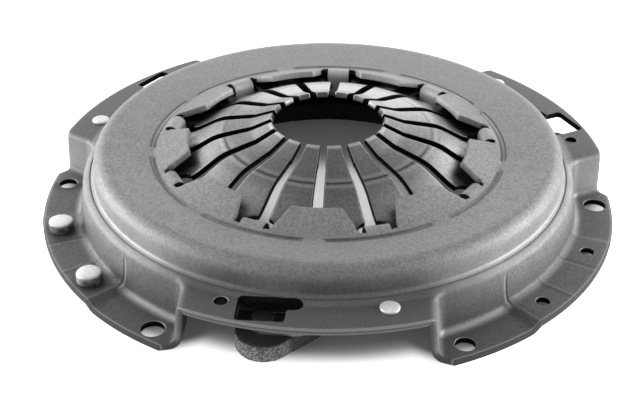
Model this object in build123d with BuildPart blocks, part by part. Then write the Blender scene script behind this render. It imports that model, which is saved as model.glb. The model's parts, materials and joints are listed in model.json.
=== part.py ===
from build123d import *

import os
from math import cos, radians, sin, tan

# Diaphragm-spring clutch cover assembly for a single dry plate.
# Millimetres.  +Z points along the clutch axis towards the release bearing.
# The origin is on the axis, in the plane of the mounting face that bolts to
# the flywheel.  The assembly is drawn free, as it lies before bolting down.

# ---- Driving dimensions: pressed cover ---------------------------------------
sheet = 2.5
crown_slope = 11.3
crown_corner_radius = 97.6
crown_height = 12.2
crown_inside_bend = 3.0
pivot_radius = 73.0
valley_bend = 3.0
ledge_height = 20.0
ledge_width = 4.5
ledge_root_bend = 1.6
crown_wall_lean = 0.5
skirt_lean = 2.0
skirt_top_inside_bend = 0.5
skirt_root_bend = 2.6
skirt_corner_bend = 4.0

# ---- Driving dimensions: lobes and raised sections ---------------------------
lobe_count = 3
first_lobe_angle = -30.0
raised_half_angle = 23.4
raised_wall_draft = 7.0
raised_rim_margin = 3.0
lobe_arc_half_angle = 32.7
lobe_end_half_angle = 35.3
lobe_rim_margin = 6.6
bolt_circle_radius = 114.0
bolt_half_angle = 30.0
bolt_hole_radius = 4.5
locating_hole_radius = 3.75
pad_rise = 1.9
pad_half_angle = 16.0
pad_slope = 45.0
balance_half_angle = 10.2
balance_circle_inset = 0.7
balance_hole_radius = 2.6

# ---- Driving dimensions: openings of a raised section ------------------------
# A raised section is measured across (anticlockwise from its middle) and out.
tooling_hole_across = -30.5
tooling_hole_radius = 2.5
window_root_gap = 1.3
window_depth = 14.1
window_behind_lug = 9.0
window_before_lug = 8.7
window_slot_length = 5.7
window_slot_width = 7.1
window_corner = 1.4

# ---- Driving dimensions: tabs round the crown's opening ----------------------
tab_count = 9
first_wide_tab_angle = -90.0
tab_rise = 21.0
tab_length = 14.1
tab_tip_half_angle = 9.5
tab_root_half_angle = 13.0
tab_flare_length = 8.6
tab_corner = 0.8
opening_margin = 2.4
relief_corner = 1.2
narrow_tab_width = 10.0
narrow_tab_setback = 5.2
narrow_tab_inside_bend = 1.2
narrow_tab_toe = 5.4
bead_width = 2.0
bead_depth = 1.1
bead_nose_radius = 1.6
bead_bridge_half_angle = 3.2

# ---- Driving dimensions: diaphragm spring ------------------------------------
spring_thickness = 2.3
spring_rim_clearance = 1.6
spring_cone = 13.0
finger_count = 18
finger_tip_radius = 23.5
finger_tip_rise = 16.3
finger_knee_setback = 28.0
finger_knee_rise = 9.6
finger_root_setback = 12.0
finger_root_rise = 2.2
finger_heel_setback = 7.0
finger_bend = 9.0
finger_knee_bend = 4.5
slot_tip_width = 2.9
slot_step_radius = 33.0
slot_mid_width = 3.3
slot_root_width = 4.4
spring_window_length = 9.0
spring_window_side_gap = 1.3
spring_window_corner = 1.6
tab_to_spring_gap = 0.35

# ---- Driving dimensions: lower pivot ring ------------------------------------
pivot_wire_radius = 1.6
pivot_gap = 0.05

# ---- Driving dimensions: pressure plate --------------------------------------
friction_height = 3.0
plate_thickness = 8.5
plate_inner_radius = 66.0
plate_rim_clearance = 3.3
plate_edge_break = 0.8
fulcrum_inset = 4.5
fulcrum_nose_radius = 2.4
fulcrum_foot_width = 8.6
fulcrum_gap = 0.1
lug_across = -15.5
lug_radius = 9.5
lug_recess = 0.3
lug_thickness = 6.0
lug_blend = 3.0
gusset_length = 13.0
lug_edge_break = 0.6

# ---- Driving dimensions: drive straps and rivets -----------------------------
strap_leaves = 3
leaf_thickness = 0.7
leaf_gap = 0.02
strap_width = 12.4
strap_standoff = 4.9
strap_cover_across = 29.5
strap_pad_length = 6.4
strap_bend = 8.0
strap_gap = 0.05
rivet_clearance = 0.05
cover_rivet_radius = 2.8
cover_rivet_head_radius = 3.7
cover_rivet_head_height = 1.0
cover_rivet_foot_radius = 4.8
cover_rivet_foot_height = 2.0
lug_rivet_radius = 2.8
lug_rivet_head_radius = 4.4
lug_rivet_head_height = 1.8
lug_rivet_foot_height = 1.6
lug_rivet_sink_depth = 2.0
lug_washer_radius = 5.6
lug_washer_thickness = 0.8
rivet_edge_break = 0.3
balance_rivet_head_radius = 5.0
balance_rivet_head_height = 4.0
balance_rivet_foot_radius = 3.6
balance_rivet_foot_height = 1.3
balance_rivet_edge = 0.5

# ---- Cover sizes that follow -------------------------------------------------
lobe_pitch = 360.0 / lobe_count
first_raised_angle = first_lobe_angle - lobe_pitch / 2
raised_angles = [first_raised_angle + lobe_pitch * i for i in range(lobe_count)]
balanced_lobe_angle = first_lobe_angle + 2 * lobe_pitch
tab_pitch = 360.0 / tab_count
first_narrow_tab_angle = first_wide_tab_angle + tab_pitch / 2
ledge_root_radius = crown_corner_radius + crown_wall_lean
skirt_top_radius = ledge_root_radius + ledge_width
skirt_root_radius = skirt_top_radius + skirt_lean
crown_corner_height = ledge_height + crown_height
crown_bend = crown_inside_bend + sheet
valley_height = crown_corner_height - (crown_corner_radius - pivot_radius) * tan(radians(crown_slope))
lobe_radius = bolt_circle_radius + lobe_rim_margin
raised_radius = bolt_circle_radius + raised_rim_margin
balance_circle_radius = bolt_circle_radius - balance_circle_inset
pad_top = sheet + pad_rise
strap_out = ledge_root_radius + strap_standoff
window_inner = ledge_root_radius + window_root_gap
window_length = window_behind_lug + window_before_lug
tab_tip_radius = pivot_radius - tab_length
opening_radius = pivot_radius - opening_margin
narrow_tab_face = pivot_radius - narrow_tab_setback
narrow_tab_back = narrow_tab_face + sheet
blank_inner_radius = tab_tip_radius - 4 * sheet
blank_outer_radius = lobe_radius + 6 * sheet
blank_depth = ledge_height
wedge_inner_radius = pivot_radius + 4 * sheet
wedge_outer_radius = blank_outer_radius + 6 * sheet

# ---- Spring and pivot sizes that follow --------------------------------------
cone_secant = 1 / cos(radians(spring_cone))
bead_center_height = valley_height - bead_depth - sheet + bead_nose_radius
spring_pivot_height = bead_center_height - (bead_nose_radius + pivot_gap) * cone_secant
spring_radius = ledge_root_radius - sheet - spring_rim_clearance
spring_underside = spring_pivot_height - spring_thickness * cone_secant
pivot_wire_height = spring_underside - (pivot_wire_radius + pivot_gap) * cone_secant
toe_top = pivot_wire_height - pivot_wire_radius
spring_window_outer = narrow_tab_back + tab_to_spring_gap
spring_window_inner = spring_window_outer - spring_window_length
spring_window_width = narrow_tab_width + 2 * spring_window_side_gap

# ---- Plate, strap and rivet sizes that follow --------------------------------
plate_top = friction_height + plate_thickness
plate_radius = skirt_top_radius - sheet - plate_rim_clearance
fulcrum_radius = spring_radius - fulcrum_inset
fulcrum_reach = fulcrum_radius - pivot_radius
fulcrum_seat = spring_underside - fulcrum_reach * tan(radians(spring_cone))
fulcrum_nose_height = fulcrum_seat - (fulcrum_nose_radius + fulcrum_gap) * cone_secant
lug_bottom = friction_height + lug_recess
lug_top = lug_bottom + lug_thickness
strap_top = ledge_height - sheet - strap_gap
leaf_pitch = leaf_thickness + leaf_gap
strap_stack = strap_leaves * leaf_pitch
washer_bottom = lug_top + strap_stack + 2 * strap_gap
balance_rivet_radius = balance_hole_radius - rivet_clearance
lug_rivet_sink_radius = lug_rivet_head_radius + rivet_clearance

os.makedirs("parts", exist_ok=True)


def save(finished, name):
    """Label a finished piece and write it under its own name."""
    finished.label = name
    export_step(finished, f"parts/{name}.step")


def wedge(inner_radius, outer_radius, half_angle):
    """Corners of a straight-ended wedge that lies along local +X."""
    rise = tan(radians(half_angle))
    return [
        (inner_radius, -inner_radius * rise),
        (outer_radius, -outer_radius * rise),
        (outer_radius, outer_radius * rise),
        (inner_radius, inner_radius * rise),
    ]


def on_circle(radius, angle):
    """Point at a radius and an angle in degrees."""
    return (radius * cos(radians(angle)), radius * sin(radians(angle)))


def tab_height(radius):
    """Height of the tabs' upper face, which rises towards the axis."""
    return valley_height + (pivot_radius - radius) * tan(radians(tab_rise))


def upright_plane(angle, out):
    """Plane across a raised section at a distance out, with Z as its Y."""
    across = (-sin(radians(angle)), cos(radians(angle)), 0)
    return Plane(origin=(*on_circle(out, angle), 0), x_dir=across, z_dir=(*on_circle(1, angle), 0))


def level_plane(angle, height):
    """Level plane on the axis, with X out through a raised section."""
    return Plane(origin=(0, 0, height), x_dir=(*on_circle(1, angle), 0), z_dir=(0, 0, 1))


def near_skirt(edge):
    """True for an edge that lies round the skirt, clear of the blank's rim."""
    center = edge.center()
    reach = (center.X**2 + center.Y**2) ** 0.5
    return skirt_top_radius - 2 * sheet < reach < blank_outer_radius - 2 * sheet


def lies_at(height):
    """Test for a level face at a height."""
    return lambda face: face.geom_type == GeomType.PLANE and abs(face.center().Z - height) < 0.001


# ---- Cover -------------------------------------------------------------------
def pressed_form(depth):
    """Solid under the cover's upper skin, with that skin sunk by a depth."""
    draft = radians(raised_wall_draft)
    with BuildPart() as form:
        with BuildSketch(Plane.XZ) as section:
            with BuildLine():
                Polyline(
                    (blank_inner_radius, -blank_depth),
                    (blank_inner_radius, tab_height(blank_inner_radius)),
                    (pivot_radius, valley_height),
                    (crown_corner_radius, crown_corner_height),
                    (ledge_root_radius, ledge_height),
                    (skirt_top_radius, ledge_height),
                    (skirt_root_radius, sheet),
                    (blank_outer_radius, sheet),
                    (blank_outer_radius, -blank_depth),
                    close=True,
                )
            make_face()
            for corner, bend in (
                ((pivot_radius, valley_height), valley_bend),
                ((crown_corner_radius, crown_corner_height), crown_bend),
                ((ledge_root_radius, ledge_height), ledge_root_bend),
            ):
                fillet(section.vertices().sort_by_distance(corner)[0], bend)
            if depth > 0:
                offset(amount=-depth, kind=Kind.INTERSECTION)
        revolve(axis=Axis.Z)
        with BuildSketch(Plane.XY.offset(ledge_height - depth)):
            with PolarLocations(0, lobe_count, start_angle=first_raised_angle):
                Polygon(*wedge(wedge_inner_radius, wedge_outer_radius, raised_half_angle), align=None)
            if depth > 0:
                offset(amount=-depth * (1 - sin(draft)) / cos(draft), kind=Kind.INTERSECTION)
        extrude(amount=-(ledge_height - depth + blank_depth), taper=-raised_wall_draft)
        uprights = form.edges().filter_by(near_skirt)
        uprights = uprights.filter_by(lambda edge: edge.bounding_box().size.Z > ledge_height / 2)
        fillet(uprights, skirt_corner_bend + depth)
        shoulders = form.faces().filter_by(lies_at(ledge_height - depth))[0].outer_wire().edges()
        fillet(shoulders.filter_by(near_skirt), skirt_top_inside_bend + sheet - depth)
        feet = form.faces().filter_by(lies_at(sheet - depth)).edges()
        fillet(feet.filter_by(near_skirt), skirt_root_bend + depth)
        with BuildSketch(Plane.XY.offset(pad_top - depth)):
            with PolarLocations(0, lobe_count, start_angle=first_lobe_angle):
                Polygon(*wedge(wedge_inner_radius, wedge_outer_radius, pad_half_angle), align=None)
        extrude(amount=-(pad_rise + sheet), taper=-pad_slope)
    return form.part


with BuildSketch(mode=Mode.PRIVATE) as lobe_shape:
    with BuildLine():
        rim = ThreePointArc(
            on_circle(lobe_radius, -lobe_arc_half_angle),
            (lobe_radius, 0),
            on_circle(lobe_radius, lobe_arc_half_angle),
        )
        Line(rim @ 1, on_circle(raised_radius, lobe_end_half_angle))
        Line(on_circle(raised_radius, lobe_end_half_angle), (0, 0))
        Line((0, 0), on_circle(raised_radius, -lobe_end_half_angle))
        Line(on_circle(raised_radius, -lobe_end_half_angle), rim @ 0)
    make_face()

with BuildSketch(mode=Mode.PRIVATE) as wide_tab_shape:
    with BuildLine():
        Polyline(
            on_circle(tab_tip_radius - sheet, -tab_tip_half_angle),
            on_circle(tab_tip_radius, -tab_tip_half_angle),
            on_circle(tab_tip_radius + tab_flare_length, -tab_root_half_angle),
            on_circle(pivot_radius, -tab_root_half_angle),
            on_circle(pivot_radius, tab_root_half_angle),
            on_circle(tab_tip_radius + tab_flare_length, tab_root_half_angle),
            on_circle(tab_tip_radius, tab_tip_half_angle),
            on_circle(tab_tip_radius - sheet, tab_tip_half_angle),
            close=True,
        )
    make_face()

with BuildPart() as bead:
    with BuildSketch(Plane.XZ):
        with Locations((pivot_radius, bead_center_height)):
            Circle(bead_nose_radius)
    revolve(axis=Axis.Z, revolution_arc=tab_pitch - 2 * bead_bridge_half_angle)

with BuildPart() as groove:
    with BuildSketch(Plane.XZ) as groove_section:
        with Locations((pivot_radius, valley_height - bead_depth)):
            Rectangle(bead_width, crown_height, align=(Align.CENTER, Align.MIN))
        fillet(groove_section.vertices().group_by(Axis.Y)[0], bead_width / 3)
    revolve(axis=Axis.Z, revolution_arc=tab_pitch - 2 * bead_bridge_half_angle)

with BuildPart() as cover:
    add(pressed_form(0))
    add(pressed_form(sheet), mode=Mode.SUBTRACT)
    with BuildSketch():
        Circle(raised_radius)
        with PolarLocations(0, lobe_count, start_angle=first_lobe_angle):
            add(lobe_shape.sketch)
    extrude(amount=2 * crown_corner_height, mode=Mode.INTERSECT)
    with PolarLocations(0, tab_count, start_angle=first_wide_tab_angle + bead_bridge_half_angle):
        add(bead.part)
    with PolarLocations(0, tab_count, start_angle=first_wide_tab_angle + bead_bridge_half_angle):
        add(groove.part, mode=Mode.SUBTRACT)
    with BuildSketch() as crown_opening:
        Circle(opening_radius)
        with PolarLocations(0, tab_count, start_angle=first_wide_tab_angle):
            add(wide_tab_shape.sketch, mode=Mode.SUBTRACT)
        Circle(tab_tip_radius)
        fillet(crown_opening.vertices().group_by(lambda v: round((v.X**2 + v.Y**2) ** 0.5))[-1], relief_corner)
        fillet(crown_opening.vertices().group_by(lambda v: round((v.X**2 + v.Y**2) ** 0.5))[0], tab_corner)
    extrude(amount=2 * crown_corner_height, mode=Mode.SUBTRACT)
    for tab_angle in [first_narrow_tab_angle + tab_pitch * i for i in range(tab_count)]:
        middle = Plane.XZ.rotated((0, 0, tab_angle))
        with BuildSketch(middle) as tab_section:
            with BuildLine():
                Polyline(
                    (pivot_radius, valley_height),
                    (narrow_tab_face, tab_height(narrow_tab_face)),
                    (narrow_tab_face, toe_top - sheet),
                    (narrow_tab_face + sheet + narrow_tab_toe, toe_top - sheet),
                    (narrow_tab_face + sheet + narrow_tab_toe, toe_top),
                    (narrow_tab_back, toe_top),
                    (narrow_tab_back, tab_height(narrow_tab_back) - sheet / cos(radians(tab_rise))),
                    (pivot_radius, valley_height - sheet / cos(radians(tab_rise))),
                    close=True,
                )
            make_face()
            for corner in (
                (narrow_tab_face, tab_height(narrow_tab_face)),
                (narrow_tab_face, toe_top - sheet),
            ):
                outer_corner = tab_section.vertices().sort_by_distance(corner)[0]
                fillet(outer_corner, narrow_tab_inside_bend + sheet)
        extrude(amount=narrow_tab_width / 2, both=True)
    with BuildSketch(Plane.XY.offset(-sheet)):
        with PolarLocations(bolt_circle_radius, lobe_count, start_angle=first_lobe_angle + bolt_half_angle):
            Circle(bolt_hole_radius)
        with PolarLocations(bolt_circle_radius, lobe_count, start_angle=first_lobe_angle - bolt_half_angle):
            Circle(locating_hole_radius)
        for side in (-1, 1):
            start = first_lobe_angle + side * balance_half_angle
            with PolarLocations(balance_circle_radius, lobe_count, start_angle=start):
                Circle(balance_hole_radius)
    extrude(amount=pad_top + 2 * sheet, mode=Mode.SUBTRACT)
    for angle in raised_angles:
        with BuildSketch(level_plane(angle, ledge_height - 2 * sheet)):
            with Locations((strap_out, tooling_hole_across)):
                Circle(tooling_hole_radius)
            with Locations((strap_out, strap_cover_across)):
                Circle(cover_rivet_radius + rivet_clearance)
        extrude(amount=4 * sheet, mode=Mode.SUBTRACT)
        with BuildSketch(level_plane(angle, ledge_height - 2 * sheet)) as window:
            with Locations((window_inner, lug_across - window_behind_lug)):
                Rectangle(window_depth, window_length, align=(Align.MIN, Align.MIN))
            with Locations((window_inner, lug_across + window_before_lug)):
                Rectangle(window_slot_width, 2 * window_slot_length, align=(Align.MIN, Align.CENTER))
            fillet(window.vertices().group_by(Axis.Y)[-1], window_slot_width / 2.1)
            fillet(window.vertices().group_by(Axis.Y)[0], window_corner)
        extrude(amount=4 * sheet, mode=Mode.SUBTRACT)
save(cover.part, "cover")


# ---- Diaphragm spring --------------------------------------------------------
def spring_height(radius):
    """Height of the cone's upper face where the spring is a plain cone."""
    return spring_pivot_height + (pivot_radius - radius) * tan(radians(spring_cone))


with BuildPart() as spring:
    with BuildSketch(Plane.XZ):
        with BuildLine():
            upper_face = FilletPolyline(
                (spring_radius, spring_height(spring_radius)),
                (pivot_radius - finger_heel_setback, spring_height(pivot_radius - finger_heel_setback)),
                (pivot_radius - finger_root_setback, spring_pivot_height + finger_root_rise),
                (pivot_radius - finger_knee_setback, spring_pivot_height + finger_knee_rise),
                (finger_tip_radius, spring_pivot_height + finger_tip_rise),
                radius=(finger_bend, finger_bend, finger_knee_bend),
            )
            offset(upper_face, amount=spring_thickness, side=Side.LEFT)
        make_face()
    revolve(axis=Axis.Z)
    with BuildSketch() as slots:
        with PolarLocations(0, finger_count, start_angle=first_wide_tab_angle):
            Polygon(
                (slot_step_radius, -slot_mid_width / 2),
                (spring_window_outer - spring_window_corner, -slot_root_width / 2),
                (spring_window_outer - spring_window_corner, slot_root_width / 2),
                (slot_step_radius, slot_mid_width / 2),
                align=None,
            )
        with PolarLocations(slot_step_radius, finger_count, start_angle=first_wide_tab_angle):
            Rectangle(2 * (slot_step_radius - finger_tip_radius + sheet), slot_tip_width)
        with PolarLocations(spring_window_outer, finger_count, start_angle=first_wide_tab_angle):
            RectangleRounded(
                spring_window_length,
                spring_window_width,
                spring_window_corner,
                align=(Align.MAX, Align.CENTER),
            )
    extrude(amount=2 * crown_corner_height, mode=Mode.SUBTRACT)
save(spring.part, "diaphragm_spring")

# ---- Lower pivot ring --------------------------------------------------------
with BuildPart() as pivot_ring:
    with BuildSketch(Plane.XZ):
        with Locations((pivot_radius, pivot_wire_height)):
            Circle(pivot_wire_radius)
    revolve(axis=Axis.Z)
save(pivot_ring.part, "lower_pivot_ring")

# ---- Pressure plate ----------------------------------------------------------
with BuildPart() as plate:
    with BuildSketch(Plane.XY.offset(lug_bottom)) as lug_outline:
        Circle(plate_radius)
        with PolarLocations(0, lobe_count, start_angle=first_raised_angle):
            with Locations((strap_out, lug_across)):
                Circle(lug_radius)
            Polygon(
                (pivot_radius, lug_across - lug_radius),
                (strap_out, lug_across - lug_radius),
                (strap_out, lug_across + lug_radius),
                (plate_radius - plate_edge_break, lug_across + lug_radius + gusset_length),
                (pivot_radius, lug_across + lug_radius + gusset_length),
                align=None,
            )
        roots = lug_outline.vertices().filter_by(
            lambda v: abs((v.X**2 + v.Y**2) ** 0.5 - plate_radius) < 0.001
        )
        fillet(roots, lug_blend)
        Circle((plate_inner_radius + plate_radius) / 2, mode=Mode.SUBTRACT)
    extrude(amount=lug_thickness)
    lug_rims = plate.edges().filter_by(lambda edge: edge.center().Z > lug_bottom + lug_thickness - 0.001)
    chamfer(lug_rims, lug_edge_break)
    with BuildSketch(Plane.XZ):
        with BuildLine():
            Polyline(
                (plate_inner_radius, friction_height + plate_edge_break),
                (plate_inner_radius + plate_edge_break, friction_height),
                (plate_radius - plate_edge_break, friction_height),
                (plate_radius, friction_height + plate_edge_break),
                (plate_radius, plate_top - plate_edge_break),
                (plate_radius - plate_edge_break, plate_top),
                (fulcrum_radius + fulcrum_foot_width / 2, plate_top),
                (fulcrum_radius + fulcrum_nose_radius, fulcrum_nose_height),
                (fulcrum_radius - fulcrum_nose_radius, fulcrum_nose_height),
                (fulcrum_radius - fulcrum_foot_width / 2, plate_top),
                (plate_inner_radius + plate_edge_break, plate_top),
                (plate_inner_radius, plate_top - plate_edge_break),
                close=True,
            )
        make_face()
        with Locations((fulcrum_radius, fulcrum_nose_height)):
            Circle(fulcrum_nose_radius)
    revolve(axis=Axis.Z)
    for angle in raised_angles:
        with BuildSketch(level_plane(angle, lug_bottom)):
            with Locations((strap_out, lug_across)):
                Circle(lug_rivet_radius + rivet_clearance)
        extrude(amount=lug_thickness, mode=Mode.SUBTRACT)
        with BuildSketch(level_plane(angle, friction_height)):
            with Locations((strap_out, lug_across)):
                Circle(lug_rivet_sink_radius)
        extrude(amount=lug_recess + lug_rivet_sink_depth, mode=Mode.SUBTRACT)
save(plate.part, "pressure_plate")


# ---- Drive straps ------------------------------------------------------------
def strap_leaf(angle, leaf):
    """One leaf of the strap pack of a raised section, counted from the top."""
    cover_end = strap_top - leaf * leaf_pitch
    lug_end = lug_top + strap_gap + strap_stack - leaf * leaf_pitch
    end_radius = strap_width / 2
    with BuildPart() as blank:
        with BuildSketch(upright_plane(angle, strap_out)):
            with BuildLine():
                upper_face = FilletPolyline(
                    (strap_cover_across + end_radius, cover_end),
                    (strap_cover_across - strap_pad_length, cover_end),
                    (lug_across + strap_pad_length, lug_end),
                    (lug_across - end_radius, lug_end),
                    radius=strap_bend,
                )
                offset(upper_face, amount=leaf_thickness, side=Side.LEFT)
            make_face()
        extrude(amount=strap_width / 2, both=True)
        with BuildSketch(level_plane(angle, lug_bottom)) as outline:
            with Locations((strap_out, (strap_cover_across + lug_across) / 2)):
                SlotCenterToCenter(strap_cover_across - lug_across, strap_width, rotation=90)
            for across, radius in (
                (strap_cover_across, cover_rivet_radius),
                (lug_across, lug_rivet_radius),
            ):
                with Locations((strap_out, across)):
                    Circle(radius + rivet_clearance, mode=Mode.SUBTRACT)
        extrude(amount=ledge_height, mode=Mode.INTERSECT)
    return blank.part


for angle, letter in zip(raised_angles, "abc"):
    for leaf in range(strap_leaves):
        save(strap_leaf(angle, leaf), f"strap_{letter}_leaf_{leaf + 1}")


# ---- Rivets and washers ------------------------------------------------------
def turned(place, outline):
    """Round piece turned from (radius, height) corners about an upright axis."""
    middle = Plane(origin=(*place, 0), x_dir=(1, 0, 0), z_dir=(0, -1, 0))
    with BuildPart() as piece:
        with BuildSketch(middle):
            Polygon(*outline, align=None)
        revolve(axis=Axis(origin=(*place, 0), direction=(0, 0, 1)))
    return piece.part


def rivet_outline(shank, bottom, foot_radius, foot_top, head_bottom, head_radius, top, edge):
    """Half section of a rivet with a foot, a shank and a chamfered head."""
    return [
        (0, bottom),
        (foot_radius - edge, bottom),
        (foot_radius, bottom + edge),
        (foot_radius, foot_top),
        (shank, foot_top),
        (shank, head_bottom),
        (head_radius, head_bottom),
        (head_radius, top - edge),
        (head_radius - edge, top),
        (0, top),
    ]


def raised_place(angle, across):
    """Point on the strap's line, at a distance across a raised section."""
    x, y = on_circle(strap_out, angle)
    return (x - across * sin(radians(angle)), y + across * cos(radians(angle)))


cover_rivet = rivet_outline(
    cover_rivet_radius,
    strap_top - strap_stack - cover_rivet_foot_height,
    cover_rivet_foot_radius,
    strap_top - strap_stack,
    ledge_height,
    cover_rivet_head_radius,
    ledge_height + cover_rivet_head_height,
    rivet_edge_break,
)
lug_rivet = rivet_outline(
    lug_rivet_radius,
    lug_bottom + lug_rivet_sink_depth - lug_rivet_foot_height,
    lug_rivet_head_radius,
    lug_bottom + lug_rivet_sink_depth,
    washer_bottom + lug_washer_thickness,
    lug_rivet_head_radius,
    washer_bottom + lug_washer_thickness + lug_rivet_head_height,
    rivet_edge_break,
)
lug_washer = [
    (lug_rivet_radius + rivet_clearance, washer_bottom),
    (lug_washer_radius, washer_bottom),
    (lug_washer_radius, washer_bottom + lug_washer_thickness),
    (lug_rivet_radius + rivet_clearance, washer_bottom + lug_washer_thickness),
]
balance_rivet = rivet_outline(
    balance_rivet_radius,
    pad_rise - balance_rivet_foot_height,
    balance_rivet_foot_radius,
    pad_rise,
    pad_top,
    balance_rivet_head_radius,
    pad_top + balance_rivet_head_height,
    balance_rivet_edge,
)
for angle, letter in zip(raised_angles, "abc"):
    save(turned(raised_place(angle, strap_cover_across), cover_rivet), f"cover_rivet_{letter}")
    save(turned(raised_place(angle, lug_across), lug_rivet), f"lug_rivet_{letter}")
    save(turned(raised_place(angle, lug_across), lug_washer), f"lug_washer_{letter}")
for side, letter in ((-1, "a"), (1, "b")):
    place = on_circle(balance_circle_radius, balanced_lobe_angle + side * balance_half_angle)
    save(turned(place, balance_rivet), f"balance_rivet_{letter}")
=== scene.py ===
"""Clutch cover assembly: its pressed, forged and cast surfaces, the studio and the camera."""

import json
import logging
from contextlib import contextmanager
from dataclasses import dataclass
from enum import Enum
from functools import cached_property
from math import asin, atan2, ceil, cos, degrees, hypot, pi, radians, sin, sqrt, tan
from typing import Callable, Iterator, Sequence

import bpy
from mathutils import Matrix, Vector

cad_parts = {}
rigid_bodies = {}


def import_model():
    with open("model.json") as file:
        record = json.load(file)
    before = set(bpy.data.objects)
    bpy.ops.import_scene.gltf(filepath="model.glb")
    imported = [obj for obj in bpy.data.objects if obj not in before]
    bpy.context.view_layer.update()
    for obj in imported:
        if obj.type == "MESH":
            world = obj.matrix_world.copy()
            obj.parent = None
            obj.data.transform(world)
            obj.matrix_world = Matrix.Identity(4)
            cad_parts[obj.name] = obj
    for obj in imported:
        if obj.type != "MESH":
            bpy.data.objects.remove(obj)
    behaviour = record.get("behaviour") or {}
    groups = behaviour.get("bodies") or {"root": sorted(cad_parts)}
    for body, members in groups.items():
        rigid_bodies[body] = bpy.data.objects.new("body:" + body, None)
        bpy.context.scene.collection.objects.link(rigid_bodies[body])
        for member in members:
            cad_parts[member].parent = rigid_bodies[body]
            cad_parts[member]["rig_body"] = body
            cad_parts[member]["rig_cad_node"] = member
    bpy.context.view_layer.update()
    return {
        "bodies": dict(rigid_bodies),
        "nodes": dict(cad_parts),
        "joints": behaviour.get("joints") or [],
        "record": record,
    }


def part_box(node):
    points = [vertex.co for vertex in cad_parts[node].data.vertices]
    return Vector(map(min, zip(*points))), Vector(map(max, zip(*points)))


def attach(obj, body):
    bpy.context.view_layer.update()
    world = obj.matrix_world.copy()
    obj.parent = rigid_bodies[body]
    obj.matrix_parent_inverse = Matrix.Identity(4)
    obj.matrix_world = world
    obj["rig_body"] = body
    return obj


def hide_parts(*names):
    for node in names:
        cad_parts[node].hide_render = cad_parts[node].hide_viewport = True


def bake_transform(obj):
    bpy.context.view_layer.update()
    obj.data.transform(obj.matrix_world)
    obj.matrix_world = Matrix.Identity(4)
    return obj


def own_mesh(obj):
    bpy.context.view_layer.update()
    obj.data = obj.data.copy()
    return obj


log = logging.getLogger("clutch_cover")

NEAR = 1e-5
NEAR_TURN = 0.05
SAME_TURN = 0.001
SEAM = 2e-6
Place = Callable[[int, int], Vector]
Span = tuple[float, float]
Grey = tuple[float, float, float, float]


# ---- Sections and outlines ----------------------------------------------------
@dataclass(frozen=True)
class Corner:
    """A corner of a section, the radius it is bent to and how fine the run after it is."""

    out: float
    up: float
    bend: float = 0.0
    step: float = 0.002

    @property
    def point(self) -> Vector:
        """The corner's place in the section."""
        return Vector((self.out, self.up))


class Section:
    """Straight runs joined by round bends, in a plane of out and up."""

    ARC_STEP = radians(9)

    def __init__(self, corners: Sequence[Corner]) -> None:
        """Traces the line through the corners."""
        self.corners = list(corners)
        self.points = self._trace()

    def _trace(self) -> list[Vector]:
        """Bends every corner and fills the runs between.

        Returns:
            Points along the section, close together round the bends.
        """
        corners = self.corners
        path = [corners[0].point]
        for before, corner, after in zip(corners, corners[1:], corners[2:]):
            back = (before.point - corner.point).normalized()
            ahead = (after.point - corner.point).normalized()
            half = back.angle(ahead) / 2
            setback = corner.bend / tan(half) if corner.bend else 0.0
            self._run(path, corner.point + back * setback, before.step)
            if corner.bend:
                centre = corner.point + (back + ahead).normalized() * corner.bend / sin(half)
                self._bend(path, centre, corner.point + ahead * setback, pi - 2 * half)
        self._run(path, corners[-1].point, corners[-2].step)
        return path

    @staticmethod
    def _run(path: list[Vector], end: Vector, step: float) -> None:
        """Adds a straight run of evenly spaced points.

        Args:
            path: the points so far, which it adds to.
            end: the run's last point.
            step: the widest space between two points.
        """
        start = path[-1].copy()
        count = max(1, ceil((end - start).length / step - 0.01))
        path.extend(start.lerp(end, i / count) for i in range(1, count + 1))

    def _bend(self, path: list[Vector], centre: Vector, end: Vector, turn: float) -> None:
        """Adds an arc.

        Args:
            path: the points so far, which it adds to.
            centre: the arc's centre.
            end: the arc's last point.
            turn: how far it turns, in radians.
        """
        first, last = path[-1] - centre, end - centre
        count = max(2, ceil(turn / self.ARC_STEP))
        for i in range(1, count + 1):
            share = i / count
            arm = first * sin((1 - share) * turn) + last * sin(share * turn)
            path.append(centre + arm / sin(turn))

    def starting_at(self, out: float) -> "Section":
        """Cuts the start off a section that runs inwards.

        Args:
            out: where the section starts afterwards.

        Returns:
            This section.
        """
        past = next(i for i, point in enumerate(self.points) if point.x < out)
        before, after = self.points[past - 1], self.points[past]
        share = (before.x - out) / (before.x - after.x)
        self.points = [before.lerp(after, share), *self.points[past:]]
        return self

    def spread(self, count: int) -> list[Vector]:
        """Points at equal distances along the section.

        Args:
            count: number of stretches between the points.

        Returns:
            The count + 1 points, from the section's start to its end.
        """
        lengths = [0.0]
        for here, there in zip(self.points, self.points[1:]):
            lengths.append(lengths[-1] + (there - here).length)
        spaced, at = [], 0
        for i in range(count + 1):
            target = lengths[-1] * i / count
            while at < len(lengths) - 2 and lengths[at + 1] < target:
                at += 1
            span = lengths[at + 1] - lengths[at]
            share = (target - lengths[at]) / span if span else 0.0
            spaced.append(self.points[at].lerp(self.points[at + 1], min(1.0, share)))
        return spaced


def closed(corners: Sequence[Corner], start: float) -> list[Vector]:
    """Points round a closed outline, from a place across on its inner side."""
    middle = Corner(corners[0].out, start)
    return Section([middle, *corners, middle]).points[:-1]


def smooth(low: float, high: float, value: float) -> float:
    """Soft step from 0 at low to 1 at high."""
    share = min(1.0, max(0.0, (value - low) / (high - low)))
    return share * share * (3 - 2 * share)


def polar(radius: float, angle: float, up: float) -> Vector:
    """Point at a radius, an angle in degrees and a height."""
    return Vector((radius * cos(radians(angle)), radius * sin(radians(angle)), up))


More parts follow.
